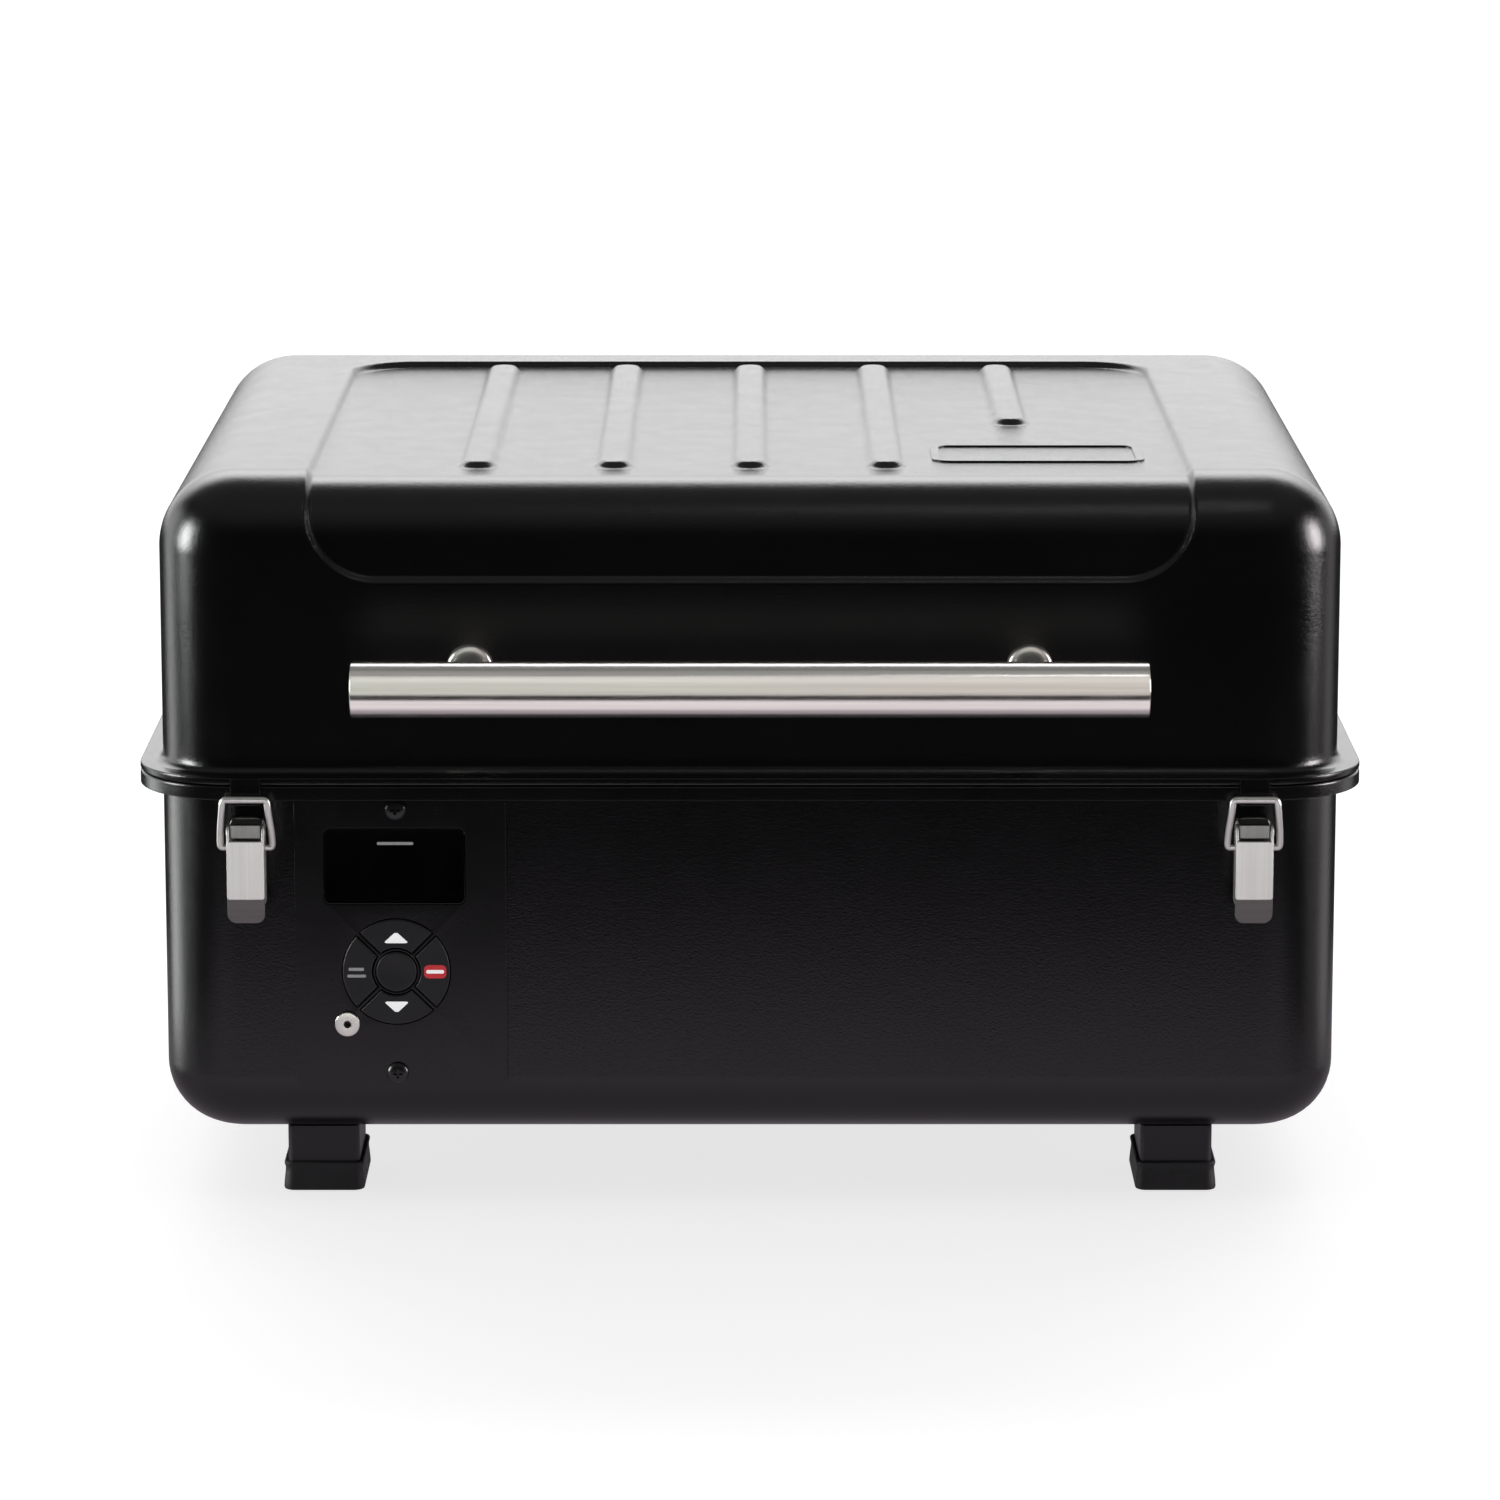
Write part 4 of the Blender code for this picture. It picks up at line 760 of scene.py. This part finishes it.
def tub_piece():
    """The tub: outer skin, turned rim and inner skin, with its slots and openings."""
    near = FRONT + PLAN_RADIUS
    far = REAR - PLAN_RADIUS
    side = HALF_WIDTH - PLAN_RADIUS
    xs = np.linspace(-side, side, 19)
    ys = np.linspace(near, far, 13)
    centre = (-FLOOR_RADIUS, FLOOR_Z + FLOOR_RADIUS)
    profile = arc(centre, FLOOR_RADIUS, -90, 0, 14)
    profile += [(0.0, z) for z in (90.0, 130.0, 165.0)]
    tuck = 2.0
    rise = TUB_RIM_HIGH - SHEET
    profile += arc((tuck, rise - tuck), tuck, 180, 90, 4)
    lip_in = RIM_OUT - SHEET
    profile += [(lip_in, rise), (lip_in, TUB_RIM_LOW + 0.4)]
    profile += [(lip_in + 0.4, TUB_RIM_LOW), (RIM_OUT - 0.4, TUB_RIM_LOW)]
    profile += [(RIM_OUT, TUB_RIM_LOW + 0.4)]
    profile += arc((RIM_OUT - 1.4, TUB_RIM_HIGH - 1.4), 1.4, 0, 90, 5)
    profile += [(-SHEET, TUB_RIM_HIGH)]
    profile += [(-SHEET, z) for z in (165.0, 130.0, 90.0)]
    profile += arc(centre, FLOOR_RADIUS - SHEET, 0, -90, 14)
    rings = [shell_ring(out, z, xs, ys) for out, z in profile]
    made = Shape().loft(rings).piece("tub_skin", COAT, "body", "tub_shell")
    rear = (REAR - 6, REAR + 4)
    tools = []
    for i in range(7):
        x = -30.0 + 24.0 * i
        slot = Shape().slab(rounded((x, x + 16), (147, 153), 2.9, 5), "Y", *rear, 0.01, 1)
        tools.append(slot)
    tools.append(block((-204.5, -175.5), rear, (73.0, 94.0)))
    for i in range(-2, 3):
        x = -140.0 + 12 * i
        tools.append(block((x - 3, x + 3), (-137, -87), (FLOOR_Z - 4, FLOOR_Z + 6)))
    tools.append(block((-192, -116), (FRONT - 4, FRONT + 6), (76, 174)))
    return carve(made, tools)


# ==== Handle ==============================================
def handle_pieces():
    centre = (HANDLE_Y, HANDLE_Z)
    end = HANDLE_HALF
    profile = [(-end + 0.5, HANDLE_RADIUS), (-end + 0.15, HANDLE_RADIUS - 0.15),
               (-end, HANDLE_RADIUS - 0.5), (-end, HANDLE_BORE + 0.3),
               (-end + 0.3, HANDLE_BORE)]
    profile += [(-along, radius) for along, radius in reversed(profile)]
    spread = [(a, HANDLE_RADIUS) for a in np.linspace(end - 4.0, -end + 4.0, 21)]
    Shape().lathe(profile + spread, "X", centre, 96, closed=True).piece(
        "handle_bar", BRUSHED, "lid", "handle_tube", angle=50.0)
    for side, sign in (("left", -1), ("right", 1)):
        x = sign * POST_X
        angles = np.linspace(0, 2 * math.pi, 48, endpoint=False)
        wall = FRONT - 0.3
        rings = []
        for shrink, y in ((0.4, wall), (0.0, wall - 0.4), (0.0, wall - 3.4),
                          (0.1, wall - 4.2), (0.4, wall - 4.9), (0.9, wall - 5.4),
                          (1.5, wall - 5.7), (2.2, wall - 5.8), (2.2, wall - 24.0),
                          (2.2, None)):
            radius = POST_RADIUS - shrink
            ring = []
            for a in angles:
                rise = radius * math.sin(a)
                seat = HANDLE_Y + math.sqrt((HANDLE_RADIUS + 0.1) ** 2 - rise ** 2)
                ring.append((x + radius * math.cos(a), seat if y is None else y,
                             HANDLE_Z + rise))
            rings.append(ring)
        Shape().loft(rings).piece(f"handle_stand_{side}", POST_STEEL, "lid",
                                  f"handle_post_{side}")
        inner, outer = sign * (end - 8.0), sign * (end - 0.8)
        dome = [(inner, 4.0), (inner, HANDLE_BORE - 0.3), (outer - sign, HANDLE_BORE - 0.3),
                (outer - sign * 0.4, HANDLE_BORE - 0.6), (outer, HANDLE_BORE - 1.4),
                (outer - sign * 0.7, HANDLE_BORE - 2.4), (outer - sign * 0.8, 1.0)]
        Shape().lathe(dome, "X", centre, 64).piece(
            f"handle_plug_{side}", PLASTIC, "lid", f"handle_end_cap_{side}")
        nut = Shape()
        inside = FRONT + SHEET + 0.1
        nut.lathe([(inside, 9.0), (inside + 1.2, 9.0), (inside + 1.4, 8.7),
                   (inside + 1.4, 5.0)], "Y", (x, HANDLE_Z), 36)
        nut.slab(circle((x, HANDLE_Z), 6.4, 6), "Y", inside + 1.4, inside + 6.4, 0.4)
        nut.piece(f"handle_bolt_{side}", ZINC, "lid")


# ==== Latches =============================================
def latch_pieces(side, sign):
    x = sign * LATCH_X
    face, inner = LEVER_FACE, LEVER_FACE + LEVER_SHEET
    lever = Shape()
    plate = rounded((x - LEVER_HALF, x + LEVER_HALF), (LEVER_LOW, LEVER_HIGH), 1.2, 4)
    lever.slab(plate, "Y", face, inner, 0.35)
    cheek = [(face + 0.5, LEVER_HIGH - 0.8), (face + 0.5, LEVER_LOW + 2.2)]
    cheek += [(inner + 1.2, LEVER_LOW + 2.2)]
    cheek += arc(BAIL_PIVOT, 2.9, -40, 20, 6)
    cheek += arc(LATCH_PIVOT, 3.2, 20, 150, 10)
    for low in (x - LEVER_HALF, x + LEVER_HALF - 1.2):
        lever.slab(cheek, "X", low, low + 1.2, 0.25)
    lever.piece(f"latch_arm_{side}", LATCH_STEEL, f"latch_lever_{side}",
                f"latch_lever_{side}")
    lip = Shape()
    outline = [(x - LEVER_HALF, LEVER_LOW + 0.9), (x + LEVER_HALF, LEVER_LOW + 0.9)]
    outline += arc((x + LEVER_HALF - 4.0, LEVER_TIP + 4.0), 4.0, 0, -90, 8)
    outline += arc((x - LEVER_HALF + 4.0, LEVER_TIP + 4.0), 4.0, -90, -180, 8)
    lip.slab(outline, "Y", face + 0.25, face + 0.25 + LEVER_SHEET, 0.4)
    lean = 2.0 / (LEVER_LOW - LEVER_TIP)
    lip.points = [(a, b + lean * max(LEVER_LOW - c, 0.0), c) for a, b, c in lip.points]
    # The lip's darker steel is painted shade.
    lip.piece(f"latch_lip_{side}", SHADED_LIP_STEEL, f"latch_lever_{side}")
    pins = Shape()
    for pivot, radius in ((LATCH_PIVOT, 1.9), (BAIL_PIVOT, 1.2)):
        for way in (-1, 1):
            at = x + way * LEVER_HALF
            pins.lathe([(at - way * 0.6, radius), (at + way * 0.15, radius),
                        (at + way * 0.45, radius * 0.75), (at + way * 0.55, radius * 0.2)],
                       "X", pivot, 20)
    pins.piece(f"latch_rivets_{side}", ZINC, f"latch_lever_{side}")
    bar_y, bar_z = BAIL_BAR
    foot_y, foot_z = BAIL_PIVOT
    half = [(LEVER_HALF - 0.9, foot_y, foot_z), (LEVER_HALF + 1.2, foot_y, foot_z),
            (11.4, foot_y, foot_z), (11.4, foot_y - 1.3, foot_z + 4.0),
            (10.9, -203.9, 174.5), (10.0, bar_y, bar_z - 4.2), (9.7, bar_y, bar_z),
            (6.0, bar_y, bar_z), (2.0, bar_y, bar_z)]
    path = half + [(-a, b, c) for a, b, c in reversed(half)]
    path = [(x + a, b, c) for a, b, c in path]
    Shape().sweep(chaikin(path, 3), BAIL_RADIUS).piece(
        f"latch_wire_{side}", LATCH_STEEL, f"latch_bail_{side}", f"latch_bail_{side}")
    # The base's darker steel is painted shade.
    refine(f"latch_base_{side}", SHADED_BASE_STEEL, 0.35)
    refine(f"latch_keeper_{side}", COAT, 0.3)
    rivets = Shape()
    wall = FRONT - 0.3 - 2.0
    for dz in (143.0, 155.0):
        rivets.lathe([(wall + 0.1, 2.4), (wall - 0.5, 2.3), (wall - 1.0, 1.6),
                      (wall - 1.2, 0.4)], "Y", (x, dz), 24)
    rivets.piece(f"latch_base_rivets_{side}", ZINC, "body")


# ==== Controls ============================================
def key_outline(turn):
    """A quarter of the key ring, with straight sides along the diagonals."""
    spread_out = 45.0 - math.degrees(math.asin(KEY_WEB / KEY_OUTER))
    spread_in = 45.0 - math.degrees(math.asin(KEY_WEB / KEY_INNER))
    outline = arc(KEYPAD, KEY_OUTER, turn - spread_out, turn + spread_out, 24)
    outline += arc(KEYPAD, KEY_INNER, turn + spread_in, turn - spread_in, 12)
    return outline


def ink(name, body, finish, outlines, raised=0.0):
    """Printed marks on a key's face."""
    shape = Shape()
    for outline in outlines:
        shape.slab(outline, "Y", KEY_FRONT - 0.05 - raised, KEY_FRONT + 0.1, 0.02, 1)
    return shape.piece(name, finish, body)


def arrow(direction, distance):
    """A broad blunt arrow head that points along +Z or -Z."""
    x, z = KEYPAD
    base = z + direction * distance
    tip = base + direction * 4.2
    points = [(x - 5.1, base), (x - 4.6, base + direction * 0.6), (x - 0.7, tip),
              (x + 0.7, tip), (x + 4.6, base + direction * 0.6), (x + 5.1, base),
              (x + 4.4, base - direction * 0.4), (x - 4.4, base - direction * 0.4)]
    return points if direction < 0 else points[::-1]


def control_pieces():
    refine("control_panel", PANEL, 0.35)
    for name, turn in (("right", 0.0), ("up", 90.0), ("left", 180.0), ("down", 270.0)):
        Shape().slab(key_outline(turn), "Y", KEY_FRONT, KEY_BACK, 0.7, 5).piece(
            f"key_cap_{name}", KEY_PLASTIC, f"key_{name}", f"key_{name}")
    centre = [(KEY_BACK, 0.5), (KEY_BACK, KEY_CENTRE), (KEY_FRONT + 0.9, KEY_CENTRE)]
    centre += [(KEY_FRONT + 0.9 - 0.9 * math.sin(a), KEY_CENTRE - 0.9 * (1 - math.cos(a)))
               for a in np.radians([20, 45, 70, 90])]
    centre += [(KEY_FRONT + 0.1, KEY_CENTRE - 2.4), (KEY_FRONT + 0.3, KEY_CENTRE - 4.5),
               (KEY_FRONT + 0.38, 0.5)]
    Shape().lathe(centre, "Y", KEYPAD, 64).piece(
        "key_cap_centre", KEY_PLASTIC, "key_centre", "key_centre")
    # The white and red marks glow faintly: painted light on the print.
    ink("key_mark_up", "key_up", WHITE_INK, [arrow(1, 13.4)])
    ink("key_mark_down", "key_down", WHITE_INK, [arrow(-1, 13.8)])
    x, z = KEYPAD
    dashes = [rounded((x - 21.0, x - 14.2), (z + 0.5, z + 1.9), 0.5, 3),
              rounded((x - 21.6, x - 13.4), (z - 2.5, z - 1.2), 0.5, 3)]
    ink("key_mark_left", "key_left", GREY_INK, dashes)
    ink("key_mark_right", "key_right", RED_INK,
        [rounded((x + 12.2, x + 22.0), (z - 2.9, z + 3.1), 2.0, 5)])
    ink("key_mark_right_bar", "key_right", WHITE_INK,
        [rounded((x + 13.2, x + 21.0), (z - 0.7, z + 0.9), 0.6, 3)], 0.05)
    left, right, low, high = DISPLAY
    Shape().slab(rounded((left, right), (low, high), 2.7, 8), "Y", CONTROL_FACE - 0.1,
                 FRONT - 0.3, 0.25).piece("display_cover", GLASS, "body",
                                          "display_window")
    bar = Shape()
    bar.slab(rounded((x - 8.0, x + 8.0), (163.6, 164.9), 0.6, 4), "Y",
             CONTROL_FACE - 0.14, CONTROL_FACE + 0.1, 0.02, 1)
    bar.piece("display_mark", GREY_INK, "body")
    face = CONTROL_FACE
    jack = [(-184.0, 1.45), (-184.0, 3.9), (face - 0.3, 3.9), (face - 0.3, 5.5),
            (face - 1.5, 5.5), (face - 1.75, 5.35), (face - 1.9, 5.0), (face - 1.9, 2.0),
            (face - 1.75, 1.6), (face - 1.4, 1.45)]
    Shape().lathe(jack, "Y", JACK, 48, closed=True).piece(
        "probe_socket", ZINC, "body", "probe_jack", angle=40.0)
    core = [(-189.0, 1.2), (-189.2, 1.2), (-189.2, 0.2)]
    Shape().lathe(core, "Y", JACK, 16).piece("probe_socket_core", PLASTIC, "body")
    head = face - 0.3
    for where, sz in SCREW_ZS.items():
        profile = [(head + 8.0, 1.9), (head, 2.0), (head, 4.8), (head - 0.5, 4.75),
                   (head - 1.1, 4.35), (head - 1.7, 3.7), (head - 2.1, 2.9),
                   (head - 2.35, 1.8), (head - 2.4, 0.6)]
        screw = Shape().lathe(profile, "Y", (SCREW_X, sz), 48).piece(
            f"screw_head_{where}", SCREW, "body", f"panel_screw_{where}")
        deep = (head - 6, head - 1.0)
        carve(screw, [block((SCREW_X - 2.1, SCREW_X + 2.1), deep, (sz - 0.55, sz + 0.55)),
                      block((SCREW_X - 0.55, SCREW_X + 0.55), deep, (sz - 2.1, sz + 2.1))])


# ==== Feet, hinges and the rear ===========================
def leg_outline(x, y, grow, radius):
    """The plan of a leg, made larger on every side."""
    return rounded((x - LEG_HALF[0] - grow, x + LEG_HALF[0] + grow),
                   (y - LEG_HALF[1] - grow, y + LEG_HALF[1] + grow), radius, 6)


def foot_pieces():
    for where, y in LEG_YS.items():
        for side, sign in (("left", -1), ("right", 1)):
            tag = f"{where}_{side}"
            outline = leg_outline(sign * LEG_X, y, 0, 3.0)
            Shape().slab(outline, "Z", 4.5, 29.7, 0.5).piece(
                f"leg_tube_{tag}", LEG_COAT, "body", f"leg_{tag}")
            flare = [(1.2, 0.0), (1.8, 0.3), (2.1, 1.2), (1.9, 4.0), (1.4, 8.5),
                     (1.35, 10.2), (1.7, 11.2), (1.9, 12.0), (1.8, 12.6), (1.4, 13.0),
                     (0.3, 13.0), (0.3, 12.6)]
            rings = []
            for grow, z in flare:
                ring = leg_outline(sign * LEG_X, y, grow, 3.3 + grow * 0.6)
                rings.append([(a, b, z) for a, b in ring])
            Shape().loft(rings).piece(f"foot_boot_{tag}", RUBBER, "body", f"boot_{tag}")


def hinge_pieces():
    for side, sign in (("left", -1), ("right", 1)):
        x = sign * HINGE_X
        refine(f"hinge_body_leaf_{side}", COAT, 0.4)
        refine(f"hinge_lid_leaf_{side}", COAT, 0.4)
        refine(f"hinge_pin_{side}", ZINC, 0.4)
        wall = REAR + GAP + LEAF
        for body, zs in HINGE_RIVET_ZS.items():
            rivets = Shape()
            for z in zs:
                for dx in (-HINGE_RIVET, HINGE_RIVET):
                    rivets.lathe([(wall - 0.1, 3.2), (wall + 0.5, 3.1), (wall + 1.2, 2.3),
                                  (wall + 1.6, 0.6)], "Y", (x + dx, z), 24)
            rivets.piece(f"hinge_rivets_{body}_{side}", COAT, body)


def rear_pieces():
    refine("exhaust_hood", COAT, 0.9, 3)
    refine("power_inlet", PLASTIC, 0.35)
    bolts = Shape()
    wall = REAR + GAP + INLET_FLANGE
    for x in INLET_SCREWS:
        bolts.lathe([(wall - 0.1, 2.2), (wall + 0.5, 2.1), (wall + 1.0, 1.5),
                     (wall + 1.2, 0.4)], "Y", (x, INLET_Z), 20)
    bolts.piece("power_inlet_screws", SCREW, "body")


def inner_pieces():
    """Everything inside the grill keeps its CAD shape, with its edges eased."""
    for node, finish, edge, steps in (
            ("chamber_partition", COAT, 0.3, 2),
            ("hopper_deck", COAT, 0.3, 2),
            ("hopper_flap", COAT, 0.25, 2),
            ("hopper_bin", GALVANISED, 0.2, 1),
            ("controller_case", PLASTIC, 0.6, 2),
            ("auger_tube", GALVANISED, 0.3, 1),
            ("auger_motor", GALVANISED, 0.8, 2),
            ("fan_housing", PLASTIC, 0.5, 2),
            ("firepot", IRON, 0.4, 2),
            ("igniter_rod", PROBE_STEEL, 0.5, 2),
            ("heat_baffle", ENAMEL, 0.3, 2),
            ("drip_tray", ENAMEL, 0.3, 1),
            ("grease_cup", GALVANISED, 0.3, 1),
            ("grate_rail", COAT, 0.3, 2),
            ("cooking_grate", IRON, 1.8, 3),
            ("temperature_probe", PROBE_STEEL, 0.4, 2)):
        refine(node, finish, edge, steps)
    for node, finish in (("auger_screw", IRON), ("fan_impeller", PLASTIC)):
        shown = frame["nodes"][node]
        for place in shown.material_slots:
            place.material = finish


def badge_piece():
    """A blank raised frame on the lid's pressed panel."""
    floor = LID_TOP - PANEL_DEPTH
    outer = rounded(BADGE_X, BADGE_Y, 9.0, 10)
    inner = rounded((BADGE_X[0] + BADGE_BAND, BADGE_X[1] - BADGE_BAND),
                    (BADGE_Y[0] + BADGE_BAND, BADGE_Y[1] - BADGE_BAND), 5.0, 10)
    rings = [[(a, b, floor - 0.4) for a, b in outer],
             [(a, b, floor + 0.5) for a, b in outer],
             [(a, b, floor + 0.8) for a, b in inset(outer, 0.4)],
             [(a, b, floor + 0.8) for a, b in inset(inner, -0.4)],
             [(a, b, floor + 0.5) for a, b in inner],
             [(a, b, floor - 0.4) for a, b in inner]]
    Shape().loft(rings, closed=True).piece("lid_badge_frame", COAT, "lid")


# ==== Stage, light and camera =============================
def stage_plane(name, x, y, z, material):
    mesh = bpy.data.meshes.new(name)
    mesh.from_pydata([(x[0], y[0], z), (x[1], y[0], z), (x[1], y[1], z), (x[0], y[1], z)],
                     [], [(0, 1, 2, 3)])
    mesh.materials.append(material)
    made = bpy.data.objects.new(name, mesh)
    bpy.context.scene.collection.objects.link(made)
    return made


def floor():
    paint = Paint("pale_floor", (0.4, 0.4, 0.4), 0.9, Emission_Strength=0.76,
                  Emission_Color=(1.0, 1.0, 1.0, 1.0))
    paint.tint(paint.noise(3.0, 2.0), (0.39, 0.39, 0.39), (0.41, 0.41, 0.41))
    made = stage_plane("studio_floor", (-30, 30), (-30, 30), -0.0006, paint.made)
    made.visible_glossy = False
    made.visible_shadow = False


def glow():
    """The lit patch of floor just in front, seen only in reflections."""
    made = bpy.data.materials.new("floor_glow")
    made.use_nodes = True
    tree = made.node_tree
    tree.nodes.clear()
    place = add_node(tree, "ShaderNodeTexCoord").outputs["Object"]
    y = add_node(tree, "ShaderNodeSeparateXYZ", Vector=place).outputs["Y"]
    along = add_node(tree, "ShaderNodeMapRange", Value=y, From_Min=GLOW_SPAN[0],
                     From_Max=GLOW_SPAN[1]).outputs["Result"]
    fade = add_node(tree, "ShaderNodeValToRGB", Fac=along)
    fade.color_ramp.interpolation = 'EASE'
    marks = fade.color_ramp.elements
    marks[0].position, marks[1].position = 0.37, 1.0
    for position in (0.5, 0.72):
        marks.new(position)
    for mark, level in zip(marks, (0.0, 1.0, 0.85, 0.35)):
        mark.color = (level, level * 0.9, level, 1.0)
    shine = add_node(tree, "ShaderNodeEmission", Color=fade.outputs["Color"],
                     Strength=GLOW)
    add_node(tree, "ShaderNodeOutputMaterial", Surface=shine.outputs[0])
    plane = stage_plane("floor_glow_patch", (-0.5, 0.5), (-1.0, 0.3), -0.002, made)
    plane.visible_camera = False
    plane.visible_diffuse = False
    plane.visible_shadow = False
    plane.visible_transmission = False


def sky():
    """A studio seen in reflections: bright behind, dark in front, softly lit overhead."""
    world = bpy.data.worlds.new("studio")
    bpy.context.scene.world = world
    world.use_nodes = True
    tree = world.node_tree
    tree.nodes.clear()
    place = add_node(tree, "ShaderNodeTexCoord").outputs["Generated"]
    split = add_node(tree, "ShaderNodeSeparateXYZ", Vector=place)

    def ramp(source, low, high, to_low, to_high):
        return add_node(tree, "ShaderNodeMapRange", {"interpolation_type": 'SMOOTHSTEP'},
                        Value=source, From_Min=low, From_Max=high, To_Min=to_low,
                        To_Max=to_high).outputs["Result"]

    def combine(operation, a, b):
        made = add_node(tree, "ShaderNodeMath", {"operation": operation})
        feed(tree, a, made.inputs[0])
        feed(tree, b, made.inputs[1])
        return made.outputs[0]

    up, ahead = split.outputs["Z"], split.outputs["Y"]
    behind = ramp(ahead, 0.6, 0.69, 0.0, 1.0)
    above = ramp(up, -0.02, 0.02, 0.0, 1.0)
    back = combine('MULTIPLY', combine('MULTIPLY', behind, above), SKY_BACK)
    back = combine('MULTIPLY', back, ramp(up, 0.24, 0.78, 1.0, SKY_LIFT))
    rise = ramp(up, 0.45, 0.85, 0.0, SKY_TOP)
    total = combine('ADD', combine('ADD', back, rise), SKY_BASE)
    shine = add_node(tree, "ShaderNodeBackground", Strength=total)
    add_node(tree, "ShaderNodeOutputWorld", Surface=shine.outputs[0])


def softbox(name, place, aim, width, height, radiance, glossy=True, diffuse=True,
            tint=(1.0, 1.0, 1.0)):
    """A rectangular light whose brightness is given as radiance."""
    data = bpy.data.lights.new(name, 'AREA')
    data.shape = 'RECTANGLE'
    data.size = width
    data.size_y = height
    data.energy = radiance * math.pi * width * height
    data.color = tint
    made = bpy.data.objects.new(name, data)
    bpy.context.scene.collection.objects.link(made)
    made.location = place
    way = np.array(aim, float) - np.array(place, float)
    made.rotation_euler = Vector(way).to_track_quat('-Z', 'Y').to_euler()
    made.visible_camera = False
    made.visible_glossy = glossy
    made.visible_diffuse = diffuse
    return made


def wall_light(name, sign, y, low, high, wide, radiance, tint):
    """An upright strip at one side, seen only in reflections."""
    middle = (low + high) / 2
    return softbox(name, (sign * WALL_AWAY, y, middle), (0.0, y * 0.2, middle), wide,
                   high - low, radiance, diffuse=False, tint=tint)


def lights():
    softbox("key_overhead", (0.0, 0.3, 2.6), (0.0, 0.0, 0.2), 3.0, 3.0, 0.75,
            glossy=False)
    for name, sign, y, low, high, wide, radiance, tint in (
            ("left_front_high", -1, -0.38, 0.16, 1.05, 0.5, 28.0, COOL),
            ("left_front_low", -1, -0.36, -1.3, 0.1, 0.05, 3.0, COOL),
            ("left_rear", -1, 0.75, -0.9, 1.2, 0.8, 2.4, COOL),
            ("right_front_high", 1, -0.34, 0.18, 1.1, 0.5, 24.0, WARM),
            ("right_front_low", 1, -0.34, -1.3, 0.1, 0.05, 2.4, WARM),
            ("right_rear", 1, 0.75, -0.9, 1.2, 0.8, 0.7, WARM)):
        wall_light(name, sign, y, low, high, wide, radiance, tint)
    for name, sign, radiance, tint in (("left", -1, 1.2, COOL), ("right", 1, 0.35, WARM)):
        only(wall_light(f"{name}_tub", sign, 0.6, -1.6, 0.4, 1.3, radiance, tint), "tub_")
    softbox("bend_glint", (0.33, -0.9, 2.2), (0.18, -0.17, 0.3), 0.3, 0.12, 5.0,
            diffuse=False)


def only(lamp, *starts):
    """Let a light fall on the named pieces alone, as flags do in a studio."""
    shown = bpy.data.collections.new(lamp.name + "_pieces")
    for made in bpy.context.scene.objects:
        if made.type == 'MESH' and made.name.startswith(starts):
            shown.objects.link(made)
    lamp.light_linking.receiver_collection = shown


def metal_fill():
    """Flagged reflectors in front, for the bright metal parts."""
    low = softbox("latch_fill", (0.0, -2.6, -0.3), (0.0, 0.0, 0.17), 1.6, 1.1, 3.2,
                  diffuse=False)
    only(low, "latch_arm", "latch_wire", "latch_base", "latch_lip", "probe_socket")
    for name, sign, tint in (("left", -1, (0.98, 1.0, 0.94)), ("right", 1, (1.0, 0.93, 0.9))):
        wall = softbox(f"handle_wall_{name}", (sign * 1.25, -3.2, 3.3),
                       (sign * 1.25, 0.0, 3.3), 2.5, 7.4, 0.84, diffuse=False, tint=tint)
        only(wall, "handle_")
    ground = softbox("handle_floor", (0.0, -0.455, 0.001), (0.0, -0.455, 1.0), 2.4, 0.31,
                     0.45, diffuse=False, tint=(1.0, 0.96, 0.95))
    only(ground, "handle_bar")
    above = softbox("handle_top", (0.0, -0.85, 3.55), (0.0, -0.85, 0.0), 4.0, 1.8, 0.17,
                    diffuse=False)
    only(above, "handle_bar")


def camera():
    data = bpy.data.cameras.new("camera")
    data.lens = CAMERA_LENS
    data.sensor_width = 36.0
    data.clip_end = 100.0
    made = bpy.data.objects.new("camera", data)
    bpy.context.scene.collection.objects.link(made)
    made.location = CAMERA_PLACE
    made.rotation_euler = (math.radians(90.0 - CAMERA_DOWN), 0.0, 0.0)
    bpy.context.scene.camera = made
    bpy.context.scene.view_settings.view_transform = 'Standard'


lid_piece()
tub_piece()
handle_pieces()
for latch_side, latch_sign in (("left", -1), ("right", 1)):
    latch_pieces(latch_side, latch_sign)
control_pieces()
foot_pieces()
hinge_pieces()
rear_pieces()
inner_pieces()
badge_piece()
floor()
glow()
sky()
lights()
metal_fill()
camera()
